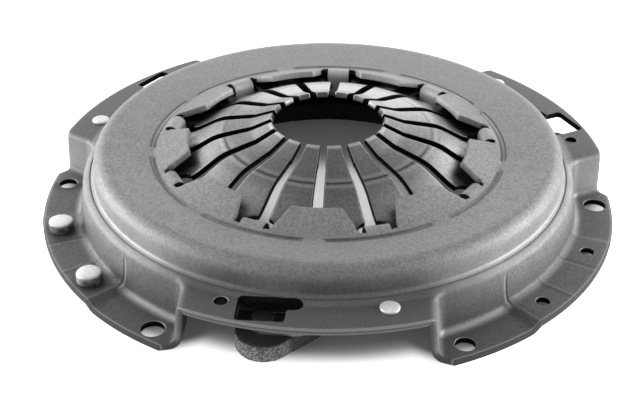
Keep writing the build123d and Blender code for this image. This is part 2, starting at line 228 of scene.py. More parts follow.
def nearest(angle: float, middle: float, pitch: float) -> float:
    """Angle from the nearest of evenly spaced directions."""
    return (angle - middle + pitch / 2) % pitch - pitch / 2


def on_raised(angle: float, out: float, across: float, up: float) -> Vector:
    """Point beside a raised section's middle line, in its own out and across."""
    way = radians(angle)
    return Vector((out * cos(way) - across * sin(way), out * sin(way) + across * cos(way), up))


def fill_gaps(marks: Sequence[float], gap: float) -> list[float]:
    """Adds marks until no two neighbours are far apart.

    Args:
        marks: the values to keep.
        gap: the widest space left between two.

    Returns:
        All the marks, in order.
    """
    ordered = sorted(set(round(m, 6) for m in marks))
    filled = [ordered[0]]
    for low, high in zip(ordered, ordered[1:]):
        count = max(1, ceil((high - low) / gap - 0.01))
        filled.extend(low + (high - low) * i / count for i in range(1, count + 1))
    return filled


# ---- Modelling steps ----------------------------------------------------------
class Bench:
    """The modelling operators, each run on one mesh at a time."""

    @staticmethod
    def pick(*things: bpy.types.Object) -> None:
        """Selects only these objects.

        Args:
            *things: the objects, the active one first.
        """
        bpy.ops.object.select_all(action="DESELECT")
        for thing in things:
            thing.select_set(True)
        bpy.context.view_layer.objects.active = things[0]

    @staticmethod
    @contextmanager
    def editing(thing: bpy.types.Object, every: bool = True) -> Iterator[None]:
        """Holds one object in edit mode.

        Args:
            thing: the object.
            every: selects its whole mesh; without it, what was picked stays so.

        Yields:
            Nothing. The object goes back to object mode afterwards.
        """
        Bench.pick(thing)
        bpy.ops.object.mode_set(mode="EDIT")
        if every:
            bpy.ops.mesh.select_all(action="SELECT")
        yield
        bpy.ops.object.mode_set(mode="OBJECT")

    @staticmethod
    def grid(name: str, columns: int, rows: int, place: Place) -> bpy.types.Object:
        """Makes a grid whose corners are placed one by one.

        Args:
            name: the piece's name.
            columns: number of corners across.
            rows: number of corners along.
            place: gives the place of the corner in a column and a row.

        Returns:
            The new object, at the origin.
        """
        bpy.ops.object.select_all(action="DESELECT")
        bpy.ops.mesh.primitive_grid_add(x_subdivisions=columns - 1, y_subdivisions=rows - 1, size=2)
        thing = bpy.context.object
        thing.name = thing.data.name = name
        for corner in thing.data.vertices:
            column = round((corner.co.x + 1) / 2 * (columns - 1))
            row = round((corner.co.y + 1) / 2 * (rows - 1))
            corner.co = place(column, row)
        return thing

    @staticmethod
    def delete_faces(thing: bpy.types.Object, unwanted: Callable[[int], bool]) -> None:
        """Deletes faces.

        Args:
            thing: the piece.
            unwanted: tells from a face's number whether it goes.
        """
        for item in (*thing.data.vertices, *thing.data.edges):
            item.select = False
        for face in thing.data.polygons:
            face.select = unwanted(face.index)
        Bench.pick(thing)
        bpy.ops.object.mode_set(mode="EDIT")
        bpy.ops.mesh.select_mode(type="FACE")
        bpy.ops.object.mode_set(mode="OBJECT")
        for face in thing.data.polygons:
            face.select = unwanted(face.index)
        bpy.ops.object.mode_set(mode="EDIT")
        bpy.ops.mesh.delete(type="FACE")
        bpy.ops.mesh.select_mode(type="VERT")
        bpy.ops.object.mode_set(mode="OBJECT")

    @staticmethod
    def weld(thing: bpy.types.Object, distance: float = 1e-6) -> None:
        """Merges corners that lie together."""
        with Bench.editing(thing):
            bpy.ops.mesh.remove_doubles(threshold=distance)

    @staticmethod
    def round_corners(thing: bpy.types.Object, wanted: Callable[[Vector], bool], radius: float) -> None:
        """Rounds corners of a sheet's outline.

        Args:
            thing: the sheet.
            wanted: tells from a corner's place whether it is rounded.
            radius: how far the rounding reaches.
        """
        with Bench.editing(thing):
            bpy.ops.mesh.select_all(action="DESELECT")
        for corner in thing.data.vertices:
            corner.select = wanted(corner.co)
        with Bench.editing(thing, every=False):
            bpy.ops.mesh.bevel(offset=radius, segments=3, affect="VERTICES")

    @staticmethod
    def apply(thing: bpy.types.Object, kind: str, **settings: object) -> None:
        """Adds a modifier and applies it.

        Args:
            thing: the piece.
            kind: the modifier's type.
            **settings: its properties.
        """
        modifier = thing.modifiers.new(kind.lower(), kind)
        for key, value in settings.items():
            setattr(modifier, key, value)
        Bench.pick(thing)
        bpy.ops.object.modifier_apply(modifier=modifier.name)

    @staticmethod
    def thicken(thing: bpy.types.Object, thickness: float) -> None:
        """Gives a sheet its thickness, below its upper skin.

        Args:
            thing: the sheet.
            thickness: how thick it becomes.
        """
        even = {"use_even_offset": True, "use_quality_normals": True}
        Bench.apply(thing, "SOLIDIFY", thickness=thickness, offset=-1.0, **even)
        with Bench.editing(thing):
            bpy.ops.mesh.normals_make_consistent(inside=False)

    @staticmethod
    def soften(thing: bpy.types.Object, width: float, angle: float = 50.0) -> None:
        """Rounds a piece's edges that are sharper than an angle."""
        sharp = {"limit_method": "ANGLE", "angle_limit": radians(angle)}
        Bench.apply(thing, "BEVEL", width=width, segments=2, **sharp)

    @staticmethod
    def cut(thing: bpy.types.Object, cutter: bpy.types.Object) -> None:
        """Cuts the cutter's form out of a piece and discards the cutter."""
        Bench.apply(thing, "BOOLEAN", operation="DIFFERENCE", object=cutter, solver="EXACT")
        Bench.discard(cutter)

    @staticmethod
    def discard(thing: bpy.types.Object) -> None:
        """Deletes an object that was only a help."""
        Bench.pick(thing)
        bpy.ops.object.delete()

    @staticmethod
    def finish(thing: bpy.types.Object, angle: float = 38.0) -> None:
        """Smooth shading with the true corners kept sharp."""
        Bench.pick(thing)
        bpy.ops.object.shade_smooth_by_angle(angle=radians(angle))

    @staticmethod
    def block(name: str, outline: Sequence[Vector], levels: Sequence[Span], angle: float) -> bpy.types.Object:
        """Makes an upright block on a raised section.

        Args:
            name: the block's name.
            outline: its corners, as out and across of the section's middle line.
            levels: heights and how much the outline is spread at each.
            angle: the section's angle.

        Returns:
            The closed mesh object.
        """
        centre = sum(outline, Vector((0.0, 0.0))) / len(outline)

        def place(column: int, row: int) -> Vector:
            """Place of one corner of the block.

            Args:
                column: the corner's column, round the block.
                row: its row, upwards.

            Returns:
                The place.
            """
            up, spread = levels[row]
            point = centre + (outline[column % len(outline)] - centre) * spread
            return on_raised(angle, point.x, point.y, up)

        piece = Bench.grid(name, len(outline) + 1, len(levels), place)
        Bench.weld(piece)
        with Bench.editing(piece):
            bpy.ops.mesh.fill_holes(sides=0)
            bpy.ops.mesh.normals_make_consistent(inside=False)
        return piece

    @staticmethod
    def join(name: str, things: Sequence[bpy.types.Object]) -> bpy.types.Object:
        """Joins objects into one.

        Args:
            name: the name of the whole.
            things: the objects, all of which it takes up.

        Returns:
            The joined object.
        """
        Bench.pick(*things)
        bpy.ops.object.join()
        joined = bpy.context.object
        joined.name = joined.data.name = name
        return joined

    @staticmethod
    def lathe(name: str, outline: Sequence[Span], axis: Vector, steps: int) -> bpy.types.Object:
        """Makes a closed turned form about an upright axis.

        Args:
            name: the piece's name.
            outline: radius and height of each corner, from the axis back to it.
            axis: a point on the axis; its Z is the outline's zero height.
            steps: number of flats round the form.

        Returns:
            The new object, at the origin.
        """

        def place(column: int, row: int) -> Vector:
            """Place of one corner of the form.

            Args:
                column: the corner's column, round the axis.
                row: its row, along the outline.

            Returns:
                The place.
            """
            radius, up = outline[row]
            turn = 2 * pi * column / steps
            return axis + Vector((radius * cos(turn), radius * sin(turn), up))

        thing = Bench.grid(name, steps + 1, len(outline), place)
        Bench.weld(thing, 1e-7)
        with Bench.editing(thing):
            bpy.ops.mesh.normals_make_consistent(inside=False)
        return thing


# ---- Finishes -----------------------------------------------------------------
def tone(level: float) -> Grey:
    """A grey colour."""
    return (level, level, level, 1.0)


@dataclass(frozen=True)
class Mark:
    """A soft line on a surface: its middle, its half width, its strength and its grey."""

    at: float
    half_width: float
    share: float
    level: float


class Reading:
    """An output of a node. Sums on it add math nodes, so a finish reads as a formula."""

    def __init__(self, nodes: "Nodes", socket: bpy.types.NodeSocket) -> None:
        """Wraps an output socket."""
        self.nodes = nodes
        self.socket = socket

    def __add__(self, other: "Reading | float") -> "Reading":
        """This plus other."""
        return self.nodes.math("ADD", self, other)

    def __sub__(self, other: "Reading | float") -> "Reading":
        """This less other."""
        return self.nodes.math("SUBTRACT", self, other)

    def __mul__(self, other: "Reading | float") -> "Reading":
        """This times other."""
        return self.nodes.math("MULTIPLY", self, other)

    def __radd__(self, other: float) -> "Reading":
        """A number plus this."""
        return self.nodes.math("ADD", other, self)

    def __rsub__(self, other: float) -> "Reading":
        """A number less this."""
        return self.nodes.math("SUBTRACT", other, self)

    def __rmul__(self, other: float) -> "Reading":
        """A number times this."""
        return self.nodes.math("MULTIPLY", other, self)

    def __abs__(self) -> "Reading":
        """This without its sign."""
        return self.nodes.math("ABSOLUTE", self)

    def step(self, low: float, high: float) -> "Reading":
        """Makes a soft step.

        Args:
            low: where the step is still 0.
            high: where it reaches 1; it may be the smaller of the two.

        Returns:
            The step's reading, from 0 to 1.
        """
        ranged = self.nodes.add(
            "ShaderNodeMapRange",
            {"interpolation_type": "SMOOTHSTEP"},
            **{"Value": self, "From Min": low, "From Max": high},
        )
        return Reading(self.nodes, ranged.outputs["Result"])

    def ridge(self, centre: float, half_width: float) -> "Reading":
        """1 at centre, falling softly to 0 at half_width from it."""
        return abs(self - centre).step(half_width, 0.0)


class Nodes:
    """Adds nodes to a tree and links them."""

    def __init__(self, tree: bpy.types.NodeTree) -> None:
        """Works on one tree."""
        self.tree = tree

    def add(self, kind: str, settings: dict[str, object] | None = None, **inputs: object) -> bpy.types.Node:
        """Adds a node.

        Args:
            kind: the node's type.
            settings: its properties.
            **inputs: values or readings for its input sockets, by name.

        Returns:
            The node, with its inputs set or linked.
        """
        node = self.tree.nodes.new(kind)
        for key, value in (settings or {}).items():
            setattr(node, key, value)
        for key, value in inputs.items():
            self.feed(node.inputs[key], value)
        return node

    def feed(self, target: bpy.types.NodeSocket, value: object) -> None:
        """Links or sets an input socket.

        Args:
            target: the input socket.
            value: a reading or an output socket to link, or a plain value to set.
        """
        source = value.socket if isinstance(value, Reading) else value
        if isinstance(source, bpy.types.NodeSocket):
            self.tree.links.new(source, target)
        else:
            target.default_value = source

    def math(self, operation: str, first: object, second: object = None) -> Reading:
        """Adds a math node.

        Args:
            operation: what it works out.
            first: a reading or a number.
            second: another, where the operation takes two.

        Returns:
            The reading of its result.
        """
        node = self.add("ShaderNodeMath", {"operation": operation})
        self.feed(node.inputs[0], first)
        if second is not None:
            self.feed(node.inputs[1], second)
        return Reading(self, node.outputs[0])

    def blend(self, share: object, first: object, second: object) -> Reading:
        """Mixes two colours.

        Args:
            share: how much of the second colour there is, from 0 to 1.
            first: a colour or a reading of one.
            second: another.

        Returns:
            The reading of the mixed colour.
        """
        node = self.add("ShaderNodeMix", {"data_type": "RGBA"})
        for slot, value in ((0, share), (6, first), (7, second)):
            self.feed(node.inputs[slot], value)
        return Reading(self, node.outputs[2])


class FinishNodes(Nodes):
    """The nodes of a material, with readings of the place on the piece and a growing base colour."""

    def __init__(self, name: str) -> None:
        """Starts a material.

        Args:
            name: the material's name.
        """
        self.material = bpy.data.materials.new(name)
        self.material.use_nodes = True
        super().__init__(self.material.node_tree)
        self.shader = self.tree.nodes["Principled BSDF"]
        self.position = self.add("ShaderNodeTexCoord").outputs["Object"]
        parts = self.add("ShaderNodeSeparateXYZ", Vector=self.position)
        self.x, self.y, self.z = (Reading(self, parts.outputs[axis]) for axis in "XYZ")
        self.radius = self.math("SQRT", self.x * self.x + self.y * self.y)
        self.base: Reading | Grey = tone(0.5)
        self.fine: Reading = self.z

    def noise(self, scale: float, detail: float = 3.0, roughness: float = 0.55) -> Reading:
        """Cloudy variation from 0 to 1.

        Args:
            scale: how many clouds there are in a metre.
            detail: how many finer layers they have.
            roughness: how strong the finer layers are.

        Returns:
            The variation's reading.
        """
        node = self.add(
            "ShaderNodeTexNoise", Vector=self.position, Scale=scale, Detail=detail, Roughness=roughness
        )
        return Reading(self, node.outputs["Fac"])

    def fold(self, middle: float, pitch: float) -> Reading:
        """Angle round the axis in degrees, from the nearest of evenly spaced directions."""
        turn = self.math("ARCTAN2", self.y, self.x) * degrees(1)
        return self.math("FLOORED_MODULO", turn - middle + pitch / 2, pitch) - pitch / 2

    def beside(self, middle: float, pitch: float) -> tuple[Reading, Reading]:
        """Distances along and across the nearest of evenly spaced directions."""
        turn = self.fold(middle, pitch) * radians(1)
        return self.radius * self.math("COSINE", turn), self.radius * self.math("SINE", turn)

    def reach(self, first: Reading, second: Reading, centre: Vector, radius: float) -> Reading:
        """Distance outside a circle in the plane of two readings."""
        aside, ahead = first - centre.x, second - centre.y
        return self.math("SQRT", aside * aside + ahead * ahead) - radius

    def reach_box(self, first: Reading, second: Reading, wide: Span, tall: Span, corner: float) -> Reading:
        """Distance outside a rectangle with rounded corners.

        Args:
            first: the reading across it.
            second: the reading along it.
            wide: its limits in the first reading.
            tall: its limits in the second.
            corner: the radius of its corners.

        Returns:
            The distance's reading, less than zero within the rectangle.
        """
        sides = [
            abs(reading - (low + high) / 2) - ((high - low) / 2 - corner)
            for reading, (low, high) in ((first, wide), (second, tall))
        ]
        within = self.math("MINIMUM", self.math("MAXIMUM", *sides), 0.0)
        aside, ahead = (self.math("MAXIMUM", side, 0.0) for side in sides)
        return self.math("SQRT", aside * aside + ahead * ahead) + within - corner

    def lay_on(self, share: Reading, level: float) -> None:
        """Draws the base colour towards a grey where share is above zero."""
        self.base = self.blend(share, self.base, tone(level))

    def lay_marks(self, zone: Reading | float, across: Reading, marks: Sequence[Mark]) -> None:
        """Lays lines over the base colour in a zone, measured in the reading across them."""
        for mark in marks:
            self.lay_on(zone * across.ridge(mark.at, mark.half_width) * mark.share, mark.level)

    def paint(self, **sockets: object) -> None:
        """Sets or links inputs of the surface shader; underscores stand for spaces."""
        for key, value in sockets.items():
            self.feed(self.shader.inputs[key.replace("_", " ")], value)

    def relief(self, height: Reading, depth: float) -> None:
        """Fine relief on the surface, depth being its full height in metres."""
        bump = self.add("ShaderNodeBump", Height=height, Strength=1.0, Distance=depth)
        self.paint(Normal=bump.outputs["Normal"])


@dataclass(frozen=True)
class Metal:
    """How a metal surface looks.

    Its dark and light greys, its sheen, its clouds and grain as counts in a
    metre, and its relief in metres.
    """

    label: str
    tones: Span
    metallic: float
    roughness: float
    clouds: float
    grain: float
    relief: float

    def lay(self) -> FinishNodes:
        """Starts a material.

        Returns:
            Its nodes, with this metal's tone, polish and grain.
        """
        nodes = FinishNodes(self.label)
        clouds = nodes.noise(self.clouds, 4.0)
        nodes.fine = nodes.noise(self.grain, 2.0, 0.7)
        coarse = nodes.noise(self.grain * 0.45, 1.0)
        share = (clouds * 0.15 + nodes.fine * 0.50 + coarse * 0.35).step(0.38, 0.62)
        nodes.base = nodes.blend(share, *(tone(level) for level in self.tones))
        nodes.paint(
            Metallic=self.metallic,
            Roughness=clouds * 0.10 + nodes.fine * 0.16 + (self.roughness - 0.13),
        )
        nodes.relief(nodes.fine + coarse * 0.8 + clouds * 0.5, self.relief)
        return nodes


class Metals(Enum):
    """The metals of the assembly."""

    COVER = Metal(
        "cover_steel", tones=(0.17, 0.30), metallic=0.50, roughness=0.54, clouds=160, grain=1900, relief=8e-5
    )
    SPRING = Metal(
        "spring_steel", tones=(0.20, 0.36), metallic=0.88, roughness=0.32, clouds=190, grain=1900, relief=6e-5
    )
    CAST = Metal(
        "cast_iron", tones=(0.012, 0.035), metallic=0.30, roughness=0.66, clouds=420, grain=1500, relief=3e-4
    )
    STRAP = Metal(
        "strap_steel", tones=(0.05, 0.10), metallic=0.80, roughness=0.38, clouds=260, grain=2400, relief=3e-5
    )
    BRIGHT = Metal(
        "bright_rivet", tones=(0.70, 0.85), metallic=0.55, roughness=0.36, clouds=300, grain=2200, relief=5e-5
    )
    DARK = Metal(
        "dark_rivet", tones=(0.03, 0.05), metallic=0.75, roughness=0.42, clouds=300, grain=2200, relief=5e-5
    )
    WIRE = Metal(
        "wire_steel", tones=(0.22, 0.30), metallic=0.85, roughness=0.32, clouds=260, grain=2400, relief=3e-5
    )


class Finish:
    """A metal as it is laid, with nothing more on it."""

    def __init__(self, metal: Metals) -> None:
        """Lays the metal.

        Args:
            metal: the metal that the finish is made of.
        """
        self.metal = metal.value
        self.nodes = self.metal.lay()
        self.radius = self.nodes.radius
        self.y, self.up = self.nodes.y, self.nodes.z

    def wear_and_painted_light(self) -> None:
        """Lays on the marks and the painted light and shade that belong to one kind of piece."""

    def build(self) -> bpy.types.Material:
        """Makes the finish.

        Returns:
            The finished material.
        """
        self.wear_and_painted_light()
        self.nodes.paint(Base_Color=self.nodes.base)
        return self.nodes.material


class CoverFinish(Finish):
    """Pressed steel: satin crown, darker flanges, painted highlights on the bends and painted shade and
    highlight lines along the creases.
    """

    # Painted shade and highlight lines: folds in the lobes' walls, their feet, the pads' edges and the
    # groove's floor.
    WALL_FOLD_SHADING = (Mark(16.1, 0.30, 0.9, 0.015), Mark(16.7, 0.45, 0.5, 0.50))
    WALL_FOOT_SHADE = (Mark(5.2, 0.28, 0.8, 0.02),)
    PAD_EDGE_SHADING = (Mark(4.7, 0.40, 0.35, 0.30), Mark(5.5, 0.90, 0.35, 0.02), Mark(15.0, 0.45, 0.35, 0.28))
    GROOVE_FLOOR_HIGHLIGHT = (Mark(0.0734, 0.0005, 0.5, 0.48),)

    def wear_and_painted_light(self) -> None:
        """Lays each part's marks over those before it."""
        self.clouds = self.nodes.noise(60.0, 3.0)
        self.on_flange = self.up.step(0.0130, 0.0120)
        self.along, self.across = self.nodes.beside(COVER.first_wide_tab, COVER.lobe_pitch)
        self.tones()
        self.paint_bend_highlights()
        self.narrow_tabs()
        self.creases()
        self.lobe_rims()
        self.groove()
        self.raised_sections()
        self.rivet_shade()
        self.cut_faces()

    def tones(self) -> None:
        """Painted light: paler towards the back, darker in front and painted shade on the front wall; the
        flanges are darker and speckled.
        """
        nodes = self.nodes
        # Painted light: paler towards the back, darker in front.
        nodes.lay_on(self.y.step(-0.020, 0.090) * 0.45, 0.42)
        nodes.lay_on(self.y.step(-0.030, -0.098) * 0.40, 0.12)
        # Painted shade on the front wall.
        front_wall_shade = self.radius.step(0.0968, 0.0984) * self.y.step(-0.070, -0.092)
        nodes.lay_on(front_wall_shade * 0.45, 0.05)
        flange = self.radius.step(0.1030, 0.1048)
        speckled = nodes.blend(nodes.fine.step(0.38, 0.62), tone(0.045), tone(0.095))
        nodes.base = nodes.blend(flange * 0.72, nodes.base, speckled)

    def paint_bend_highlights(self) -> None:
        """Painted highlights on the skirt, the shoulder, the ledge and the bend at the flange, weaker in
        front and on the shoulder at the back; the bends are also rougher.
        """
        radius, up = self.radius, self.up
        skirt = radius.ridge(0.1004, 0.0030) * up.step(0.0110, 0.0170)
        shoulder = radius.ridge(0.0962, 0.0030) * up.step(0.0235, 0.0262)
        ledge = radius.ridge(0.0984, 0.0016)
        off_front = 0.12 + 0.88 * self.y.step(-0.0935, -0.0780)
        off_back = self.y.step(0.060, 0.010)
        # Painted highlight on the skirt, the shoulder and the ledge, weaker in front.
        bend_highlight = skirt * 1.2 + shoulder * off_back * 0.25 + ledge * 0.7
        self.nodes.lay_on(bend_highlight * off_front * (0.10 + self.clouds * 0.40), 0.62)
        # Painted highlight on the bend at the flange's root.
        foot = up.ridge(0.0030, 0.0026) * radius.ridge(0.1062, 0.0024)
        self.nodes.lay_on(foot * (0.15 + self.clouds * 0.6), 0.46)
        bends = radius.ridge(0.1022, 0.0030) * up.step(0.0125, 0.0175) + shoulder * 0.4
        self.nodes.paint(Roughness=self.metal.roughness + bends * 0.09)

    def narrow_tabs(self) -> None:
        """Painted highlight on the narrow tabs' bends, stronger at the back, and painted shade on the walls
        in the notches beside them.
        """
        nodes, radius = self.nodes, self.radius
        turn = nodes.fold(COVER.first_wide_tab + COVER.tab_pitch / 2, COVER.tab_pitch)
        # Painted highlight on the narrow tabs' bends, stronger at the back.
        bends = abs(turn).step(5.2, 4.8) * radius.step(0.0722, 0.0712)
        nodes.lay_on(bends * (0.08 + self.y.step(-0.010, 0.030) * 0.42), 0.50)
        across = abs(radius * nodes.math("SINE", turn * radians(1)))
        # Painted shade on the walls of the notches beside the narrow tabs.
        past_tab = across.step(0.00478, 0.00494)
        flanks = past_tab * across.step(0.0056, 0.0054) * radius.step(0.0710, 0.0706)
        ends = past_tab * across.step(0.0090, 0.0086) * radius.ridge(0.0696, 0.0018).step(0.0, 0.2)
        nodes.lay_on(nodes.math("MAXIMUM", flanks, ends * self.up.step(0.0282, 0.0277)), 0.010)

    def creases(self) -> None:
        """Painted shade along the die's line round the ledge, and painted shade and highlight lines for the
        folds in the lobes' walls, their feet and the pads' edges.
        """
        nodes, radius, up = self.nodes, self.radius, self.up
        # Painted shade in the die's line.
        die_line_shade = radius.ridge(COVER.crease_radius, 0.00045) * up.step(0.0190, 0.0196)
        nodes.lay_on(die_line_shade * 0.9, 0.03)
        aside = abs(nodes.fold(COVER.first_lobe, COVER.lobe_pitch))
        above_waist = up - 0.012
        bowed = aside + above_waist * above_waist * 9000.0 + self.clouds * 0.5
        wall = radius.step(0.1012, 0.1022)
        folded = wall * radius.step(0.1072, 0.1060) * up.step(0.0175, 0.0150)
        foot = wall * radius.step(0.1080, 0.1064) * up.step(0.0085, 0.0060)
        pad = radius.step(0.1062, 0.1072) * self.on_flange
        # Painted shade and highlight lines along the folds, their feet and the pads' edges.
        nodes.lay_marks(folded, bowed, self.WALL_FOLD_SHADING)
        nodes.lay_marks(foot, aside, self.WALL_FOOT_SHADE)
        nodes.lay_marks(pad, aside, self.PAD_EDGE_SHADING)

    def lobe_rims(self) -> None:
        """A painted highlight line round the lobes, just inside their sheared edge, which gets painted shade.
        """
        # Painted highlight just inside the rim, painted shade on the sheared edge.
        rim_highlight = self.radius.ridge(COVER.lobe_radius - 0.0006, 0.0005)
        sheared = self.radius.step(COVER.lobe_radius - 0.0004, COVER.lobe_radius - 0.0001)
        self.nodes.lay_on(rim_highlight * self.on_flange * 0.55, 0.36)
        self.nodes.lay_on(sheared * self.on_flange * 0.55, 0.04)

    def groove(self) -> None:
        """Painted shade on both sides of the groove's floor and a painted highlight on the floor, between the
        bridges.
        """
        from_bridge = abs(self.nodes.fold(COVER.first_wide_tab, COVER.tab_pitch))
        pressed = from_bridge.step(COVER.bridge_half - 0.5, COVER.bridge_half + 0.3)
        # Painted shade on the groove's walls and a painted highlight on its floor.
        groove_wall_shade = self.radius.ridge(0.0724, 0.0006) * 0.7 + self.radius.ridge(0.0743, 0.0008) * 0.8
        self.nodes.lay_on(groove_wall_shade * pressed, 0.04)
        self.nodes.lay_marks(pressed, self.radius, self.GROOVE_FLOOR_HIGHLIGHT)

    def raised_sections(self) -> None:
        """Painted highlights on the raised sections' outer rims and on the walls at their ends, and painted
        shade on the rims' sheared edge.
        """
        radius, up = self.radius, self.up
        # Painted highlight lines on the rim's lips and painted shade on its sheared edge.
        rim = radius.step(COVER.raised_radius - 0.0008, COVER.raised_radius - 0.0002)
        lips = up.step(0.0188, 0.0193) + up.ridge(0.0179, 0.0005) * 0.8
        rim_highlight = rim * lips + rim * 0.4
        self.nodes.lay_on(rim_highlight * up.step(0.0140, 0.0150) * 0.38, 0.32)
        sheared = radius.step(COVER.raised_radius - 0.0004, COVER.raised_radius - 0.0001)
        self.nodes.lay_on(sheared * up.ridge(0.0186, 0.0004) * 0.5, 0.03)
        # Painted highlight on the walls at the ends.
        end_wall_highlight = abs(self.across).ridge(0.0474, 0.0030) * radius.step(0.1035, 0.1060)
        end_wall_highlight = end_wall_highlight * up.step(0.0025, 0.0060) * (0.3 + self.clouds * 0.7)
        self.nodes.lay_on(end_wall_highlight * 0.75, 0.50)

    def rivet_shade(self) -> None:
        """Painted shadow round the feet of the two balance rivets, on the flange."""
        circle = COVER.pad_hole_circle
        turned = self.nodes.fold(*DRIVE.balance_fold) * radians(1) * circle
        # Painted shadow on the flange beside the balance rivets.
        rivet_shadow = self.nodes.reach(self.radius, turned, Vector((circle, 0.0008)), 0.0048).step(0.0045, -0.0005)
        rivet_shadow = rivet_shadow * self.on_flange * self.nodes.x.step(-0.060, -0.070)
        self.nodes.lay_on(rivet_shadow * 0.65, 0.01)

    def cut_faces(self) -> None:
        """Walls in the holes and windows painted near black, partly oxide and partly painted shade, and a
        painted highlight line round the holes.
        """
        nodes, holes = self.nodes, self.from_holes()
        # Painted highlight line round the holes.
        nodes.lay_on(holes.step(0.00045, 0.00030) * holes.step(0.0, 0.00008) * 0.35, 0.42)
        # Walls painted near black: partly oxide, partly painted shade.
        walls = nodes.math("MINIMUM", holes, self.from_windows()).step(0.00012, 0.00002)
        nodes.lay_on(walls, 0.012)
        nodes.paint(Metallic=self.metal.metallic + walls * 0.5)

    def from_holes(self) -> Reading:
        """Measures from the nearest hole.

        Returns:
            The distance's reading, zero or less on the hole's wall.
        """
        out, turned = self.nodes.beside(COVER.first_lobe, COVER.lobe_pitch)
        pad_hole = polar(COVER.pad_hole_circle, COVER.pad_hole_angle, 0)
        nearest = self.nodes.reach(out, abs(turned), pad_hole, COVER.pad_hole)
        for centre, radius, *seen in (
            (polar(COVER.bolt_circle, COVER.bolt_angle, 0), COVER.bolt_hole, out, turned),
            (polar(COVER.bolt_circle, -COVER.bolt_angle, 0), COVER.locating_hole, out, turned),
            (Vector((DRIVE.out, COVER.tooling_across)), COVER.tooling_hole, self.along, self.across),
        ):
            nearest = self.nodes.math("MINIMUM", nearest, self.nodes.reach(*seen, centre, radius))
        return nearest

    def from_windows(self) -> Reading:
        """Measures from the nearest window.

        Returns:
            The distance's reading, zero or less on the window's wall.
        """
        wide, slot = (
            self.nodes.reach_box(self.along, self.across, (WINDOW.inner, outer), limits, corner)
            for outer, limits, corner in (
                (WINDOW.outer, (WINDOW.start, WINDOW.step), WINDOW.corner),
                (WINDOW.waist, (WINDOW.start / 2, WINDOW.end), WINDOW.round_end),
            )
        )
        below = self.up.step(0.0165, 0.0160) * 0.01
        return self.nodes.math("MINIMUM", wide, slot) + below


class SpringFinish(Finish):
    """Spring steel: painted shade at the roots, a dark band at the knee, a pale ring, painted shade and
    highlight along a ridge, and painted highlights on the tips.
    """

    RINGS = (Mark(0.0452, 0.0012, 0.25, 0.50),)

    def wear_and_painted_light(self) -> None:
        """Lays each part's marks over those before it."""
        self.fingers()
        self.roots()
        self.slot_edges()

    def fingers(self) -> None:
        """Tones from the knee to the tips, with painted light: paler at the back, darker in front, painted
        shade and highlight along a ridge, painted highlights on the tips and painted shade on their end
        faces.
        """
        nodes, radius, y = self.nodes, self.radius, self.y
        clouds = nodes.noise(45.0, 3.0)
        # Painted light: paler at the back.
        nodes.lay_on(y.step(-0.005, 0.040) * 0.45, 0.50)
        # Painted shade in front, inside the rings.
        inside_rings = radius.step(0.0440, 0.0425) * y.step(0.020, -0.010)
        nodes.lay_on(inside_rings * 0.35, 0.12)
        knee = radius.ridge(0.0485, 0.0062) * (0.25 + clouds * 0.6)
        nodes.lay_on(knee * 0.5, 0.11)
        # Painted shade in front.
        nodes.lay_on(y.step(-0.008, -0.038) * (0.25 + clouds * 0.4), 0.07)
        in_front = y.step(-0.004, -0.020)
        # Painted highlight and painted shade along a ridge, stronger in front.
        nodes.lay_on(radius.ridge(0.0416, 0.0018) * in_front * 0.30, 0.45)
        nodes.lay_on(radius.ridge(0.0434, 0.0010) * (0.45 + in_front * 0.4), 0.03)
        nodes.lay_marks(1.0, radius, self.RINGS)
        # Painted highlight on the tips, stronger in front.
        tips = radius.step(0.0256, 0.0246) * (0.25 + y.step(0.0, -0.012) * 0.5)
        nodes.lay_on(tips, 0.55)
        # Painted shade on the tips' end faces.
        tip_end_shade = radius.step(SPRING.tip_radius + 0.00025, SPRING.tip_radius + 0.00012)
        nodes.lay_on(tip_end_shade * 0.85, 0.07)

    def roots(self) -> None:
        """Painted shade over the roots, further in at the front, and painted shadow beside the wide tabs."""
        nodes, radius = self.nodes, self.radius
        # Painted shade over the roots, further in at the front.
        nodes.lay_on((radius + self.y * 0.03).step(0.0568, 0.0622) * 0.9, 0.012)
        # Painted shadow beside the wide tabs.
        tab_shadow = abs(nodes.fold(COVER.first_wide_tab, COVER.tab_pitch)).step(14.5, 10.5)
        tab_shadow = tab_shadow * radius.step(0.0535, 0.0590) * abs(nodes.x).step(0.020, 0.036)
        nodes.lay_on(tab_shadow * 0.85, 0.012)

    def slot_edges(self) -> None:
        """A painted highlight line beside each slot and painted shade on the wall in it."""
        nodes, radius, size = self.nodes, self.radius, SPRING
        _, from_middle = nodes.beside(COVER.first_wide_tab, 360 / size.fingers)
        widening = (size.slot_root - size.slot_mid) / (size.window_inner - size.slot_step)
        half = (size.slot_mid - size.slot_step * widening) + radius * widening
        narrowed = radius.step(size.slot_step + 0.0002, size.slot_step - 0.0002)
        edge = abs(from_middle) - (half - narrowed * (size.slot_mid - size.slot_tip))
        slots = radius.step(size.window_inner, size.window_inner - 0.0004)
        # Painted highlight beside each slot and painted shade on its wall.
        nodes.lay_on(edge.step(0.00065, 0.00045) * slots * 0.35, 0.50)
        nodes.lay_on(edge.step(0.00032, 0.00018) * slots, 0.012)


